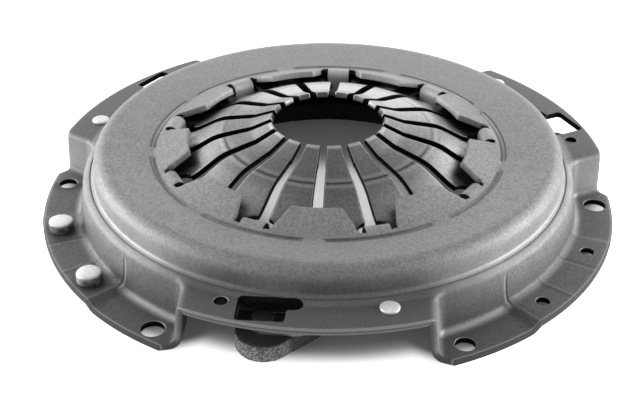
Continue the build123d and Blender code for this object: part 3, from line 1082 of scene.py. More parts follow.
class CastFinish(Finish):
    """Sand-cast iron: dark inside, pitted and speckled with pale grains on the lugs."""

    def wear_and_painted_light(self) -> None:
        """Speckles the lugs, then paints shade over their gussets and tops."""
        nodes = self.nodes
        lugs = self.radius.step(0.0965, 0.0990)
        specks = nodes.noise(1300.0, 3.0, 0.7)
        nodes.lay_on(lugs * (0.12 + specks.step(0.42, 0.64) * 0.75), 0.46)
        # Painted shade on the lugs' gussets and tops.
        _, across = nodes.beside(COVER.first_wide_tab, COVER.lobe_pitch)
        gussets = across.step(-0.0062, -0.0040)
        nodes.lay_on(lugs * gussets * 0.75, 0.04)
        tops = self.up.step(0.0092, 0.0103)
        nodes.lay_on(lugs * tops, 0.012)
        nodes.relief(specks + nodes.fine * 0.5, 0.0008)


class BrightFinish(Finish):
    """Plated rivet heads, with painted shade low down on one side of the balance rivets."""

    def wear_and_painted_light(self) -> None:
        """Paints mottled shade low down on one side of the two balance rivets."""
        # Painted shade, mottled, low down on one side of the balance rivets.
        shade_mottle = 0.75 + self.nodes.noise(420.0, 2.0).step(0.35, 0.70) * 0.25
        one_side = 0.20 + self.nodes.fold(*DRIVE.balance_fold).step(-1.2, 1.6) * 0.75
        low = self.up.step(0.0086, 0.0076) * self.up.step(0.0130, 0.0120)
        self.nodes.lay_on(low * one_side * shade_mottle, 0.03)


class StrapFinish(Finish):
    """Blued strap steel with painted highlights on its sheared edges."""

    def wear_and_painted_light(self) -> None:
        """Paints a highlight on the inner edge and, less so, on the outer one."""
        along, _ = self.nodes.beside(COVER.first_wide_tab, COVER.lobe_pitch)
        out, half = along - DRIVE.out, DRIVE.leaf_half_width
        # Painted highlights on the sheared edges.
        self.nodes.lay_on(out.step(0.0007 - half, 0.0004 - half), 0.85)
        self.nodes.lay_on(out.step(half - 0.0003, half - 0.0001) * 0.6, 0.35)


class Finishes:
    """Every material, made once and looked up by the metal it stands for."""

    SPECIAL = {
        Metals.COVER: CoverFinish,
        Metals.SPRING: SpringFinish,
        Metals.CAST: CastFinish,
        Metals.STRAP: StrapFinish,
        Metals.BRIGHT: BrightFinish,
    }

    def __init__(self) -> None:
        """Makes a material of each metal."""
        self.made = {metal: self.SPECIAL.get(metal, Finish)(metal).build() for metal in Metals}

    def dress(self, thing: bpy.types.Object, metal: Metals) -> None:
        """Gives a piece its material.

        Args:
            thing: the piece.
            metal: what it is made of.
        """
        thing.data.materials.clear()
        thing.data.materials.append(self.made[metal])


# ---- Cover --------------------------------------------------------------------
class PocketWall:
    """The wall between a raised level and a lobe's flange, and its rounded corner.

    A place is told by how far it lies inside the pocket from the skirt's top
    edge and from the raised section's top edge.  The nearer of the two sets
    its height, and near the pocket's corner both are bent round an arc.
    """

    REFERENCE_RADIUS = 0.110
    BEND_STEPS = 6

    def __init__(self, size: "Cover") -> None:
        """Works out the wall's slope and where its bends end.

        Args:
            size: the cover, which gives the sizes.
        """
        self.size = size
        self.fall = size.ledge_height - size.sheet
        self.turn = atan2(self.fall, size.skirt_lean)
        self.brow = -size.shoulder_bend * tan(self.turn / 2)
        self.foot = size.skirt_lean + size.root_bend * tan(self.turn / 2)

    def marks(self) -> list[float]:
        """Finds where the wall needs a line of corners.

        Returns:
            Distances inside the pocket, in order.
        """
        steps = range(self.BEND_STEPS + 1)
        top = [self.brow + self.size.shoulder_bend * sin(self.turn * i / self.BEND_STEPS) for i in steps]
        bottom = [self.foot - self.size.root_bend * sin(self.turn * i / self.BEND_STEPS) for i in steps]
        wall = [top[-1] + (bottom[-1] - top[-1]) * share for share in (0.25, 0.5, 0.75)]
        return sorted([*top, *wall, *bottom, self.size.pocket_corner])

    def height(self, inside: float) -> float:
        """Height of the wall above the flange.

        Args:
            inside: distance inside the pocket.

        Returns:
            The height there.
        """
        top, bottom = self.size.shoulder_bend, self.size.root_bend
        if inside <= self.brow:
            return self.fall
        if inside >= self.foot:
            return 0.0
        if inside < self.brow + top * sin(self.turn):
            return self.fall - top + sqrt(top**2 - (inside - self.brow) ** 2)
        if inside > self.foot - bottom * sin(self.turn):
            return bottom - sqrt(bottom**2 - (inside - self.foot) ** 2)
        return self.fall * (1 - inside / self.size.skirt_lean)

    def bent(self, skirt: float, side: float) -> tuple[float, float]:
        """Rounds the pocket's corner.

        Args:
            skirt: distance from the skirt's top edge.
            side: distance from the raised section's top edge.

        Returns:
            Both distances after the bend.
        """
        corner = self.size.pocket_corner
        near, far = min(skirt, side), max(skirt, side)
        if far >= corner or near <= self.brow:
            return skirt, side
        radius = corner - near
        swing = radians(45) * (1 - (far - near) / radius)
        pull = smooth(self.brow, self.brow * 0.4, near)
        near += (corner - radius * cos(swing) - near) * pull
        far += (corner - radius * sin(swing) - far) * pull
        return (near, far) if skirt <= side else (far, near)


@dataclass(frozen=True)
class Window:
    """The window over a lug: wide at its start, then a narrower slot with a round end."""

    inner: float = 0.0994
    outer: float = 0.1135
    waist: float = 0.1065
    start: float = -0.0245
    step: float = -0.0068
    end: float = -0.0011
    corner: float = 0.0016
    waist_corner: float = 0.0012
    round_end: float = 0.0033
    run: float = 0.004
    levels: tuple[Span, ...] = ((0.0145, 1.0), (0.0198, 1.0), (0.0204, 1.045))

    def tool(self, angle: float) -> bpy.types.Object:
        """Makes a tool that cuts the window.

        Args:
            angle: the raised section's angle.

        Returns:
            The tool.
        """
        corners = [
            Corner(out, across, bend, self.run)
            for out, across, bend in (
                (self.inner, self.start, self.corner),
                (self.outer, self.start, self.corner),
                (self.outer, self.step, self.corner),
                (self.waist, self.step, self.waist_corner),
                (self.waist, self.end, self.round_end),
                (self.inner, self.end, self.round_end),
            )
        ]
        return Bench.block("window_tool", closed(corners, (self.start + self.end) / 2), self.levels, angle)


@dataclass(frozen=True)
class Cover:
    """The pressed cover, made as one sheet from tab tips to rim, then thickened and pierced.

    Sizes are in metres and degrees. Heights are those of the upper skin.
    """

    sheet: float = 0.0025
    tip_radius: float = 0.0589
    opening_radius: float = 0.0706
    pivot_radius: float = 0.0730
    valley_height: float = 0.02729
    tab_rise: float = 21.0
    valley_bend: float = 0.003
    crown_radius: float = 0.0976
    crown_height: float = 0.0322
    crown_bend: float = 0.0055
    ledge_radius: float = 0.0981
    ledge_height: float = 0.0200
    ledge_bend: float = 0.0016
    ledge_play: float = 0.0005
    crease_radius: float = 0.0997
    crease_depth: float = 0.0003
    crease_half_width: float = 0.0003
    row_gap: float = 0.00004
    skirt_radius: float = 0.1026
    skirt_lean: float = 0.00208
    shoulder_bend: float = 0.0030
    root_bend: float = 0.0026
    pocket_corner: float = 0.0051
    lobe_radius: float = 0.1206
    raised_radius: float = 0.1170
    lobe_arc: float = 32.7
    lobe_end: float = 35.3
    pocket_half: float = 36.6
    raised_half_width: float = 0.0457
    splay_start: float = 0.080
    pad_rise: float = 0.0019
    pad_half: float = 16.0
    pad_slope: float = 2.4
    groove_half_width: float = 0.0009
    groove_depth: float = 0.0009
    bridge_half: float = 3.2
    bridge_run_in: float = 0.6
    tab_pitch: float = 40.0
    first_wide_tab: float = -90.0
    first_lobe: float = -30.0
    lobe_pitch: float = 120.0
    wide_root_half: float = 13.0
    wide_tip_half: float = 9.5
    flare_radius: float = 0.0675
    relief_corner: float = 0.0019
    relief_run: float = 0.003
    narrow_width: float = 0.010
    dip_run_out: float = 2.6
    narrow_face: float = 0.0652
    narrow_bottom: float = 0.01544
    narrow_bend: float = 0.0031
    toe_radius: float = 0.0757
    tab_corner: float = 0.0008
    rim_bevel: float = 0.00028
    bolt_circle: float = 0.114
    bolt_angle: float = 30.0
    bolt_hole: float = 0.0045
    locating_hole: float = 0.00375
    pad_hole_circle: float = 0.1133
    pad_hole_angle: float = 10.2
    pad_hole: float = 0.0026
    tooling_across: float = -0.0305
    tooling_hole: float = 0.0025

    TAB_ROWS = 18
    FLANGE_ROWS = 5
    WIDEST_COLUMN = 1.35
    PUNCH_STEPS = 48

    def tab_height(self, radius: float) -> float:
        """Height of the tabs' upper skin at a radius."""
        return self.valley_height + (self.pivot_radius - radius) * tan(radians(self.tab_rise))

    def crown_line(self, radius: float) -> float:
        """Height of the crown's straight flank at a radius."""
        rise, run = self.crown_height - self.valley_height, self.crown_radius - self.pivot_radius
        return self.valley_height + (radius - self.pivot_radius) * rise / run

    @cached_property
    def narrow_half(self) -> float:
        """Half the angle that a narrow tab takes up at the opening."""
        return degrees(asin(self.narrow_width / 2 / self.opening_radius))

    @cached_property
    def wall(self) -> PocketWall:
        """The wall between the skirt and the flange."""
        return PocketWall(self)

    @cached_property
    def pocket_rows(self) -> list[float]:
        """Distances of the wall's rows of corners inside the pocket."""
        return self.wall.marks()

    @cached_property
    def crown_end(self) -> int:
        """The first row of corners past the crown."""
        return self.TAB_ROWS + len(self.crown)

    @cached_property
    def hook(self) -> list[Vector]:
        """Section of a narrow tab.

        Returns:
            Points from the opening's rim down to the toe's end.
        """
        corners = [
            Corner(self.pivot_radius, self.valley_height, step=0.0005),
            Corner(self.narrow_face, self.tab_height(self.narrow_face), self.narrow_bend),
            Corner(self.narrow_face, self.narrow_bottom, self.narrow_bend),
            Corner(self.toe_radius, self.narrow_bottom),
        ]
        return Section(corners).starting_at(self.opening_radius).spread(self.TAB_ROWS)

    @cached_property
    def crown(self) -> list[Vector]:
        """Section of the crown.

        Returns:
            Points from the opening's rim out to the skirt.
        """
        near, far = self.opening_radius, self.pivot_radius + self.groove_half_width * 2
        corners = [
            Corner(near, self.tab_height(near), step=0.0004),
            Corner(self.pivot_radius, self.valley_height, self.valley_bend, step=0.0004),
            Corner(far, self.crown_line(far), step=0.0026),
            Corner(self.crown_radius, self.crown_height, self.crown_bend, step=0.002),
            Corner(self.ledge_radius, self.ledge_height, self.ledge_bend, step=0.00015),
            Corner(self.skirt_radius + self.wall.brow - self.row_gap, self.ledge_height),
        ]
        return Section(corners).points[1:]

    @cached_property
    def angles(self) -> list[float]:
        """Angles of the columns of corners.

        Returns:
            The angles in degrees, once round and downwards.
        """
        per_length = degrees(1 / PocketWall.REFERENCE_RADIUS)
        end = self.lobe_pitch / 2
        marks = [self.lobe_arc, self.lobe_end, end]
        for tab in (0.0, self.tab_pitch):
            marks += [tab + self.narrow_half, tab, abs(tab - self.narrow_half)]
        for tab in (self.tab_pitch / 2, end):
            marks.append(tab - self.wide_root_half)
            marks.append(min(end, tab + self.wide_root_half))
        marks += [self.pocket_half - distance * per_length for distance in self.wall.marks()]
        marks += [self.pad_half + self.pad_slope * share for share in (-0.5, -0.25, 0.0, 0.25, 0.5)]
        half = fill_gaps([0.0, *marks], self.WIDEST_COLUMN)
        sector = sorted({round(side * angle, 5) for angle in half for side in (-1, 1)})[:-1]
        around = [start + angle for start in range(-120, 240, 120) for angle in sector]
        return [*reversed([angle + self.first_lobe for angle in around]), around[-1] - 360 + self.first_lobe]

    def from_lobe(self, angle: float) -> float:
        """Angle from the middle of the nearest lobe."""
        return nearest(angle, self.first_lobe, self.lobe_pitch)

    def from_wide_tab(self, angle: float) -> float:
        """Angle from the middle of the nearest wide tab."""
        return nearest(angle, self.first_wide_tab, self.tab_pitch)

    def opening(self, angle: float) -> float:
        """Radius of the crown's opening, drawn in where a wide tab's flank meets it.

        Args:
            angle: direction round the axis, in degrees.

        Returns:
            The radius in that direction.
        """
        past = (abs(self.from_wide_tab(angle)) - self.wide_root_half) * radians(self.opening_radius)
        if past < 0:
            return self.opening_radius - self.relief_corner * smooth(-self.relief_run, 0.0, past)
        inset = max(0.0, self.relief_corner - past)
        return self.opening_radius - self.relief_corner + sqrt(self.relief_corner**2 - inset**2)

    def rim(self, angle: float) -> float:
        """Radius of the cover's outer edge in a direction."""
        share = (abs(self.from_lobe(angle)) - self.lobe_arc) / (self.lobe_end - self.lobe_arc)
        return self.lobe_radius + (self.raised_radius - self.lobe_radius) * min(1.0, max(0.0, share))

    def pad(self, angle: float) -> float:
        """How far the flange stands up at the pad in the middle of a lobe."""
        edge = self.pad_half + self.pad_slope / 2
        return self.pad_rise * smooth(edge, edge - self.pad_slope, abs(self.from_lobe(angle)))

    def place(self, column: int, row: int) -> Vector:
        """Place of one corner of the sheet's upper skin.

        Args:
            column: the corner's column, round the axis.
            row: its row, from the tabs' tips outwards.

        Returns:
            The place.
        """
        angle = self.angles[column]
        if row <= self.TAB_ROWS:
            return self._on_tab(angle, row)
        if row < self.crown_end:
            out, up = self.crown[row - self.TAB_ROWS - 1]
            return polar(out, angle + self.splay(angle, out), up - self.dip(out, angle))
        return self._on_flange(angle, row - self.crown_end)

    def splay(self, angle: float, radius: float) -> float:
        """Turn that sets the end walls of a raised section parallel to each other.

        Args:
            angle: direction round the axis, in degrees.
            radius: distance from the axis.

        Returns:
            The turn, in degrees.
        """
        away = self.from_lobe(angle)
        radial = self.lobe_pitch / 2 - self.pocket_half
        turn = degrees(asin(self.raised_half_width / max(radius, self.skirt_radius))) - radial
        turn *= smooth(self.splay_start, self.skirt_radius, radius)
        on_lobe = (abs(away) - self.pad_half) / (self.lobe_arc - self.pad_half)
        on_raised_section = (self.lobe_pitch / 2 - abs(away)) / radial
        share = max(0.0, min(1.0, on_lobe, on_raised_section))
        return -turn * share if away > 0 else turn * share

    def groove(self, radius: float, angle: float) -> float:
        """Depth of the pressed groove over the pivot, which stops at the bridges.

        Args:
            radius: distance from the axis.
            angle: direction round the axis, in degrees.

        Returns:
            The depth.
        """
        across = smooth(self.groove_half_width, 0.0, abs(radius - self.pivot_radius))
        from_bridge = abs(self.from_wide_tab(angle))
        run_in = self.bridge_run_in
        along = smooth(self.bridge_half - run_in, self.bridge_half + run_in, from_bridge)
        return self.groove_depth * across * along

    def dip(self, radius: float, angle: float) -> float:
        """How far the rim of the opening is drawn down over a narrow tab's bend.

        Args:
            radius: distance from the axis.
            angle: direction round the axis, in degrees.

        Returns:
            The depth.
        """
        fall = self.tab_height(self.opening_radius) - self.hook[0].y
        inward = smooth(self.pivot_radius, self.opening_radius, radius)
        away = self.tab_pitch / 2 - abs(self.from_wide_tab(angle))
        return fall * inward * smooth(self.narrow_half + self.dip_run_out, self.narrow_half, away)

    def crease(self, radius: float, up: float) -> float:
        """Depth of the fine line that the die leaves round the ledge.

        Args:
            radius: distance from the axis.
            up: height, which tells the ledge from the crown's flank.

        Returns:
            The depth.
        """
        on_ledge = up < self.ledge_height + self.ledge_play
        across = smooth(self.crease_half_width, 0.0, abs(radius - self.crease_radius))
        return self.crease_depth * across * on_ledge

    def _on_tab(self, angle: float, row: int) -> Vector:
        """Place of a corner on the tabs or on the opening's rim.

        Args:
            angle: the corner's direction, in degrees.
            row: its row.

        Returns:
            The place.
        """
        away = self.from_wide_tab(angle)
        opening = self.opening(angle)
        if abs(away) <= self.wide_root_half + SAME_TURN:
            radius = self.tip_radius + (opening - self.tip_radius) * row / self.TAB_ROWS
            flare = min(1.0, (radius - self.tip_radius) / (self.flare_radius - self.tip_radius))
            half = self.wide_tip_half + (self.wide_root_half - self.wide_tip_half) * flare
            turned = angle + away * (half / self.wide_root_half - 1)
            return polar(radius, turned, self.tab_height(radius))
        if row == self.TAB_ROWS:
            return polar(opening, angle, self.tab_height(opening) - self.dip(opening, angle))
        middle = angle - away + (self.tab_pitch / 2 if away > 0 else -self.tab_pitch / 2)
        out, up = self.hook[self.TAB_ROWS - row]
        across = (angle - middle) / self.narrow_half * self.narrow_width / 2
        way = radians(middle)
        return Vector((out * cos(way) - across * sin(way), out * sin(way) + across * cos(way), up))

    def _on_flange(self, angle: float, row: int) -> Vector:
        """Place of a corner on the skirt, the lobes or the raised sections.

        Args:
            angle: the corner's direction, in degrees.
            row: its row, counted from the skirt.

        Returns:
            The place.
        """
        away = self.from_lobe(angle)
        side = radians(self.pocket_half - abs(away)) * PocketWall.REFERENCE_RADIUS
        last = len(self.pocket_rows) - 1
        skirt, side_bent = self.wall.bent(self.pocket_rows[min(row, last)], side)
        turned = self.pocket_half - degrees(side_bent / PocketWall.REFERENCE_RADIUS)
        turned = angle - away + (turned if away > 0 else -turned)
        radius = self.skirt_radius + skirt
        if row > last:
            share = (row - last) / self.FLANGE_ROWS
            radius += (self.rim(turned) - radius) * share
        stand = self.wall.height(min(self.pocket_rows[min(row, last)], side))
        pad = self.pad(angle)
        turned += self.splay(turned, radius)
        return polar(radius, turned, self.sheet + pad + stand * (1 - pad / self.wall.fall))

    def is_open(self, face: int) -> bool:
        """Tells the reliefs beside the tabs.

        Args:
            face: number of a face of the grid.

        Returns:
            True for a face that lies in one.
        """
        columns = len(self.angles) - 1
        row, column = divmod(face, columns)
        if row >= self.TAB_ROWS:
            return False
        middle = (self.angles[column] + self.angles[column + 1]) / 2
        from_wide = abs(self.from_wide_tab(middle))
        return self.wide_root_half < from_wide < self.tab_pitch / 2 - self.narrow_half

    def build(self) -> bpy.types.Object:
        """Makes the cover.

        Returns:
            The finished mesh object, pierced and with its rims softened.
        """
        rows = self.crown_end + len(self.pocket_rows) + self.FLANGE_ROWS
        piece = Bench.grid("cover_pressing", len(self.angles), rows, self.place)
        Bench.delete_faces(piece, self.is_open)
        Bench.weld(piece, SEAM)
        Bench.round_corners(piece, self.is_tip_corner, self.tab_corner)
        upper_skin = len(piece.data.vertices)
        Bench.thicken(piece, self.sheet)
        self.press_lines(piece, upper_skin)
        Bench.soften(piece, self.rim_bevel)
        Bench.cut(piece, Bench.join("press_tools", list(self.cutters())))
        Bench.finish(piece)
        return piece

    def press_lines(self, piece: bpy.types.Object, upper_skin: int) -> None:
        """Sinks the groove and the crease into the upper skin, and the groove's bead below it.

        Args:
            piece: the thickened sheet.
            upper_skin: how many of its corners, from the first, are the upper skin's.
        """
        for corner in piece.data.vertices:
            radius = hypot(corner.co.x, corner.co.y)
            angle = degrees(atan2(corner.co.y, corner.co.x))
            if corner.index < upper_skin:
                corner.co.z -= self.groove(radius, angle) + self.crease(radius, corner.co.z)
            elif corner.co.z > self.ledge_height:
                corner.co.z -= self.groove(radius, angle)

    def is_tip_corner(self, place: Vector) -> bool:
        """True at the two corners of a wide tab's tip."""
        away = abs(self.from_wide_tab(degrees(atan2(place.y, place.x))))
        return hypot(place.x, place.y) < self.tip_radius + NEAR and abs(away - self.wide_tip_half) < NEAR_TURN

    def cutters(self) -> Iterator[bpy.types.Object]:
        """Makes the tools for the bolt holes, pad holes, tooling holes and windows.

        Yields:
            Each tool.
        """
        holes = (
            (self.bolt_circle, self.bolt_angle, self.bolt_hole, 0.0),
            (self.bolt_circle, -self.bolt_angle, self.locating_hole, 0.0),
            (self.pad_hole_circle, -self.pad_hole_angle, self.pad_hole, self.pad_rise),
            (self.pad_hole_circle, self.pad_hole_angle, self.pad_hole, self.pad_rise),
        )
        for lobe in range(3):
            middle = self.first_lobe + lobe * self.lobe_pitch
            for circle, turn, radius, stand in holes:
                yield self.punch(polar(circle, middle + turn, stand), radius)
        for angle in DRIVE.raised_angles:
            under = on_raised(angle, DRIVE.out, self.tooling_across, self.ledge_height - self.sheet)
            yield self.punch(under, self.tooling_hole)
            yield WINDOW.tool(angle)

    def punch(self, at: Vector, radius: float) -> bpy.types.Object:
        """Makes a round tool that leaves the rims of its hole softly broken.

        Args:
            at: the hole's centre on the sheet's lower skin.
            radius: the hole's radius.

        Returns:
            The tool.
        """
        lip, past, sheet = 0.00025, 0.002, self.sheet
        outline = [
            (0.0, -past),
            (radius + lip + past, -past),
            (radius, lip),
            (radius, sheet - lip),
            (radius + lip + past, sheet + past),
            (0.0, sheet + past),
        ]
        return Bench.lathe("punch", outline, at, self.PUNCH_STEPS)


WINDOW = Window()
COVER = Cover()


# ---- Spring -------------------------------------------------------------------
@dataclass(frozen=True)
class Spring:
    """The diaphragm spring: one dished ring whose inside is slit into fingers."""

    thickness: float = 0.0023
    rim_radius: float = 0.0940
    pivot_radius: float = 0.0730
    pivot_height: float = 0.02359
    cone: float = 13.0
    heel_radius: float = 0.0660
    heel_bend: float = 0.009
    root_radius: float = 0.0593
    root_height: float = 0.02585
    root_bend: float = 0.012
    knee_radius: float = 0.0472
    knee_height: float = 0.03320
    knee_bend: float = 0.020
    elbow_radius: float = 0.0323
    elbow_height: float = 0.03620
    elbow_bend: float = 0.012
    tip_radius: float = 0.0235
    tip_height: float = 0.03985
    fingers: int = 18
    window_inner: float = 0.06035
    window_outer: float = 0.07065
    window_half: float = 0.0063
    window_corner: float = 0.0016
    window_flare: float = 0.0040
    tip_corner: float = 0.0007
    slot_tip: float = 0.00145
    slot_mid: float = 0.00165
    slot_root: float = 0.0022
    slot_step: float = 0.033
    rim_bevel: float = 0.00035

    def cone_height(self, radius: float) -> float:
        """Height of the upper face where the spring is a plain cone."""
        return self.pivot_height + (self.pivot_radius - radius) * tan(radians(self.cone))

    @cached_property
    def pitch(self) -> float:
        """Angle from one finger to the next."""
        return 360 / self.fingers

    @cached_property
    def root_half(self) -> float:
        """Half the angle of a finger between two windows."""
        return self.pitch / 2 - degrees(asin((self.window_half - self.window_corner) / self.window_outer))

    @cached_property
    def section(self) -> list[Vector]:
        """Section from the tips out to the rim.

        Returns:
            Its points, with exact ones where the slots change width.
        """
        corners = [
            Corner(self.rim_radius, self.cone_height(self.rim_radius), step=0.0026),
            Corner(self.window_outer, self.cone_height(self.window_outer), step=0.0008),
            Corner(self.heel_radius, self.cone_height(self.heel_radius), self.heel_bend, 0.0010),
            Corner(self.root_radius, self.root_height, self.root_bend, 0.0012),
            Corner(self.knee_radius, self.knee_height, self.knee_bend, 0.0015),
            Corner(self.elbow_radius, self.elbow_height, self.elbow_bend, 0.0015),
            Corner(self.tip_radius, self.tip_height),
        ]
        section = Section(corners).points
        marks = [self.slot_step - 0.0002, self.slot_step + 0.0002]
        marks += [self.window_inner - 0.0003, self.window_inner, self.window_inner + 0.0001]
        marks += [self.window_inner + self.window_flare * share for share in (0.12, 0.3, 0.6, 1.0)]
        marks += [self.window_outer - self.window_corner * share for share in (0.1, 0.3, 0.6, 1.0)]
        heights = {round(mark, 7): self._height(section, mark) for mark in marks}
        kept = [p for p in section if all(abs(p.x - mark) > 0.00022 for mark in marks)]
        kept += [Vector((mark, up)) for mark, up in heights.items()]
        return sorted(kept, key=lambda point: point.x)

    @cached_property
    def angles(self) -> list[float]:
        """Angles of the columns of corners.

        Returns:
            The angles in degrees, once round and downwards.
        """
        finger = [self.root_half * (i / 6 - 1) for i in range(13)]
        beside = (self.root_half + self.pitch / 2) / 2
        across = [-self.pitch / 2, -beside, *finger, beside]
        turns = [i * self.pitch + turn for i in range(self.fingers) for turn in across]
        first = COVER.first_wide_tab + self.pitch / 2
        return [*reversed([first + turn for turn in turns]), first + turns[-1] - 360]

    @staticmethod
    def _height(section: list[Vector], radius: float) -> float:
        """Height of the section.

        Args:
            section: its points, from the rim inwards.
            radius: where the height is wanted.

        Returns:
            The height there.
        """
        for outer, inner in zip(section, section[1:]):
            if inner.x <= radius <= outer.x:
                share = (outer.x - radius) / (outer.x - inner.x)
                return outer.y + (inner.y - outer.y) * share
        return section[-1].y

    def from_finger(self, angle: float) -> float:
        """Angle from the middle of the nearest finger."""
        return (angle - COVER.first_wide_tab) % self.pitch - self.pitch / 2

    def slot_half(self, radius: float) -> float:
        """Half width of the gap between two fingers.

        Args:
            radius: distance from the axis.

        Returns:
            The half width there.
        """
        if radius <= self.slot_step:
            return self.slot_tip
        if radius < self.window_inner:
            share = (radius - self.slot_step) / (self.window_inner - self.slot_step)
            return self.slot_mid + (self.slot_root - self.slot_mid) * share
        half = self.window_half
        for corner, from_end in (
            (self.window_flare, radius - self.window_inner),
            (self.window_corner, self.window_outer - radius),
        ):
            inset = max(0.0, corner - from_end)
            half -= corner - sqrt(max(0.0, corner**2 - inset**2))
        return max(half, self.slot_root)

    def place(self, column: int, row: int) -> Vector:
        """Place of one corner of the spring's upper face.

        Args:
            column: the corner's column, round the axis.
            row: its row, from the tips outwards.

        Returns:
            The place.
        """
        angle = self.angles[column]
        radius, up = self.section[row]
        if radius > self.window_outer - NEAR:
            return polar(radius, angle, up)
        away = self.from_finger(angle)
        half = self.pitch / 2 - degrees(asin(self.slot_half(radius) / radius))
        return polar(radius, angle + away * (half / self.root_half - 1), up)

    def is_open(self, face: int) -> bool:
        """Tells the slots and windows.

        Args:
            face: number of a face of the grid.

        Returns:
            True for a face that lies in one.
        """
        columns = len(self.angles) - 1
        row, column = divmod(face, columns)
        if self.section[row].x > self.window_outer - NEAR:
            return False
        middle = (self.angles[column] + self.angles[column + 1]) / 2
        return abs(self.from_finger(middle)) > self.root_half

    def is_tip_corner(self, place: Vector) -> bool:
        """Tells the two corners of a finger's tip.

        Args:
            place: a corner's place.

        Returns:
            True at those two.
        """
        radius = hypot(place.x, place.y)
        if radius > self.tip_radius + NEAR:
            return False
        away = self.from_finger(degrees(atan2(place.y, place.x)))
        half = self.pitch / 2 - degrees(asin(self.slot_tip / radius))
        return abs(abs(away) - half) < NEAR_TURN

    def build(self) -> bpy.types.Object:
        """Makes the spring.

        Returns:
            The finished mesh object, one dished ring with softened edges.
        """
        piece = Bench.grid("spring_fingers", len(self.angles), len(self.section), self.place)
        Bench.delete_faces(piece, self.is_open)
        Bench.weld(piece, SEAM)
        Bench.round_corners(piece, self.is_tip_corner, self.tip_corner)
        Bench.thicken(piece, self.thickness)
        Bench.soften(piece, self.rim_bevel)
        Bench.finish(piece)
        return piece


SPRING = Spring()


# ---- Plate, pivot ring and straps ---------------------------------------------
@dataclass(frozen=True)
class Casting:
    """The plate as it is cast: the node's own form, with thick lugs and a sandy skin.

    A lug is a round-ended ear with a sloping gusset on one side. Its sizes are
    heights, and distances out and across of its raised section.
    """

    inside: float = 0.090
    front: float = 0.1159
    behind: float = -0.0256
    before: float = -0.0044
    ear: float = 0.0104
    waist_out: float = 0.1095
    waist_bend: float = 0.0010
    foot_out: float = 0.0975
    foot_across: float = 0.0070
    foot_bend: float = 0.0030
    foot_end: float = 0.0100
    run: float = 0.004
    levels: tuple[Span, ...] = ((0.0028, 0.97), (0.0034, 1.0), (0.0100, 1.0), (0.0106, 0.97))
    voxel: float = 0.0011
    smoothing: float = 0.5
    rounds: int = 3
    sand: float = 0.0022
    sand_depth: float = 0.00022
    sharp_angle: float = 60.0

    def lug(self, angle: float) -> bpy.types.Object:
        """Makes a lug.

        Args:
            angle: its raised section's angle.

        Returns:
            The closed mesh object.
        """
        corners = [
            Corner(self.inside, self.behind),
            Corner(self.front, self.behind, self.ear, self.run),
            Corner(self.front, self.before, self.ear, self.run),
            Corner(self.waist_out, self.before, self.waist_bend, self.run),
            Corner(self.foot_out, self.foot_across, self.foot_bend, self.run),
            Corner(self.inside, self.foot_end),
        ]
        return Bench.block("lug", closed(corners, (self.behind + self.before) / 2), self.levels, angle)

    def build(self, node: bpy.types.Object) -> bpy.types.Object:
        """Makes the plate.

        Args:
            node: the plain plate, which is copied and left as it is.

        Returns:
            The finished mesh object, its edges run soft as from a mould.
        """
        Bench.pick(node)
        bpy.ops.object.duplicate()
        piece = bpy.context.object
        piece.name = piece.data.name = "pressure_casting"
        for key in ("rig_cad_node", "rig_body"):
            if key in piece:
                del piece[key]
        piece.parent = None
        Bench.weld(piece)
        piece = Bench.join(piece.name, [piece, *(self.lug(angle) for angle in DRIVE.raised_angles)])
        Bench.apply(piece, "REMESH", mode="VOXEL", voxel_size=self.voxel, adaptivity=0.0)
        Bench.apply(piece, "SMOOTH", factor=self.smoothing, iterations=self.rounds)
        sand = bpy.data.textures.new("sand", "CLOUDS")
        sand.noise_scale = self.sand
        Bench.apply(
            piece, "DISPLACE", texture=sand, strength=self.sand_depth, mid_level=0.5, texture_coords="LOCAL"
        )
        Bench.finish(piece, self.sharp_angle)
        return piece


@dataclass(frozen=True)
class Drive:
    """Pivot ring, straps, rivets and washers."""

    ring_radius: float = 0.073
    ring_wire: float = 0.0016
    ring_height: float = 0.01954
    balance_lobe: float = 210.0
    raised_angles: tuple[float, ...] = (-90.0, 30.0, 150.0)
    out: float = 0.103
    cover_across: float = 0.0295
    lug_across: float = -0.0155
    leaves: int = 3
    leaf: float = 0.0007
    leaf_pitch: float = 0.00072
    leaf_half_width: float = 0.0062
    strap_top: float = 0.01745
    strap_drop: float = 0.00595
    leaf_bevel: float = 0.00012
    pad_length: float = 0.0064
    pad_end: float = 0.97
    strap_bend: float = 0.008
    strap_middle: float = 0.015

    @property
    def balance_fold(self) -> Span:
        """Middle and pitch that fold the directions of the two balance rivets into one."""
        return self.balance_lobe - 360 - COVER.pad_hole_angle, 2 * COVER.pad_hole_angle

    def ring(self) -> bpy.types.Object:
        """Makes the round wire under the spring.

        Returns:
            The finished mesh object.
        """
        bpy.ops.object.select_all(action="DESELECT")
        bpy.ops.mesh.primitive_torus_add(
            major_radius=self.ring_radius, minor_radius=self.ring_wire, major_segments=180, minor_segments=16
        )
        piece = bpy.context.object
        piece.name = piece.data.name = "pivot_wire"
        for corner in piece.data.vertices:
            corner.co.z += self.ring_height
        Bench.finish(piece)
        return piece


DRIVE = Drive()


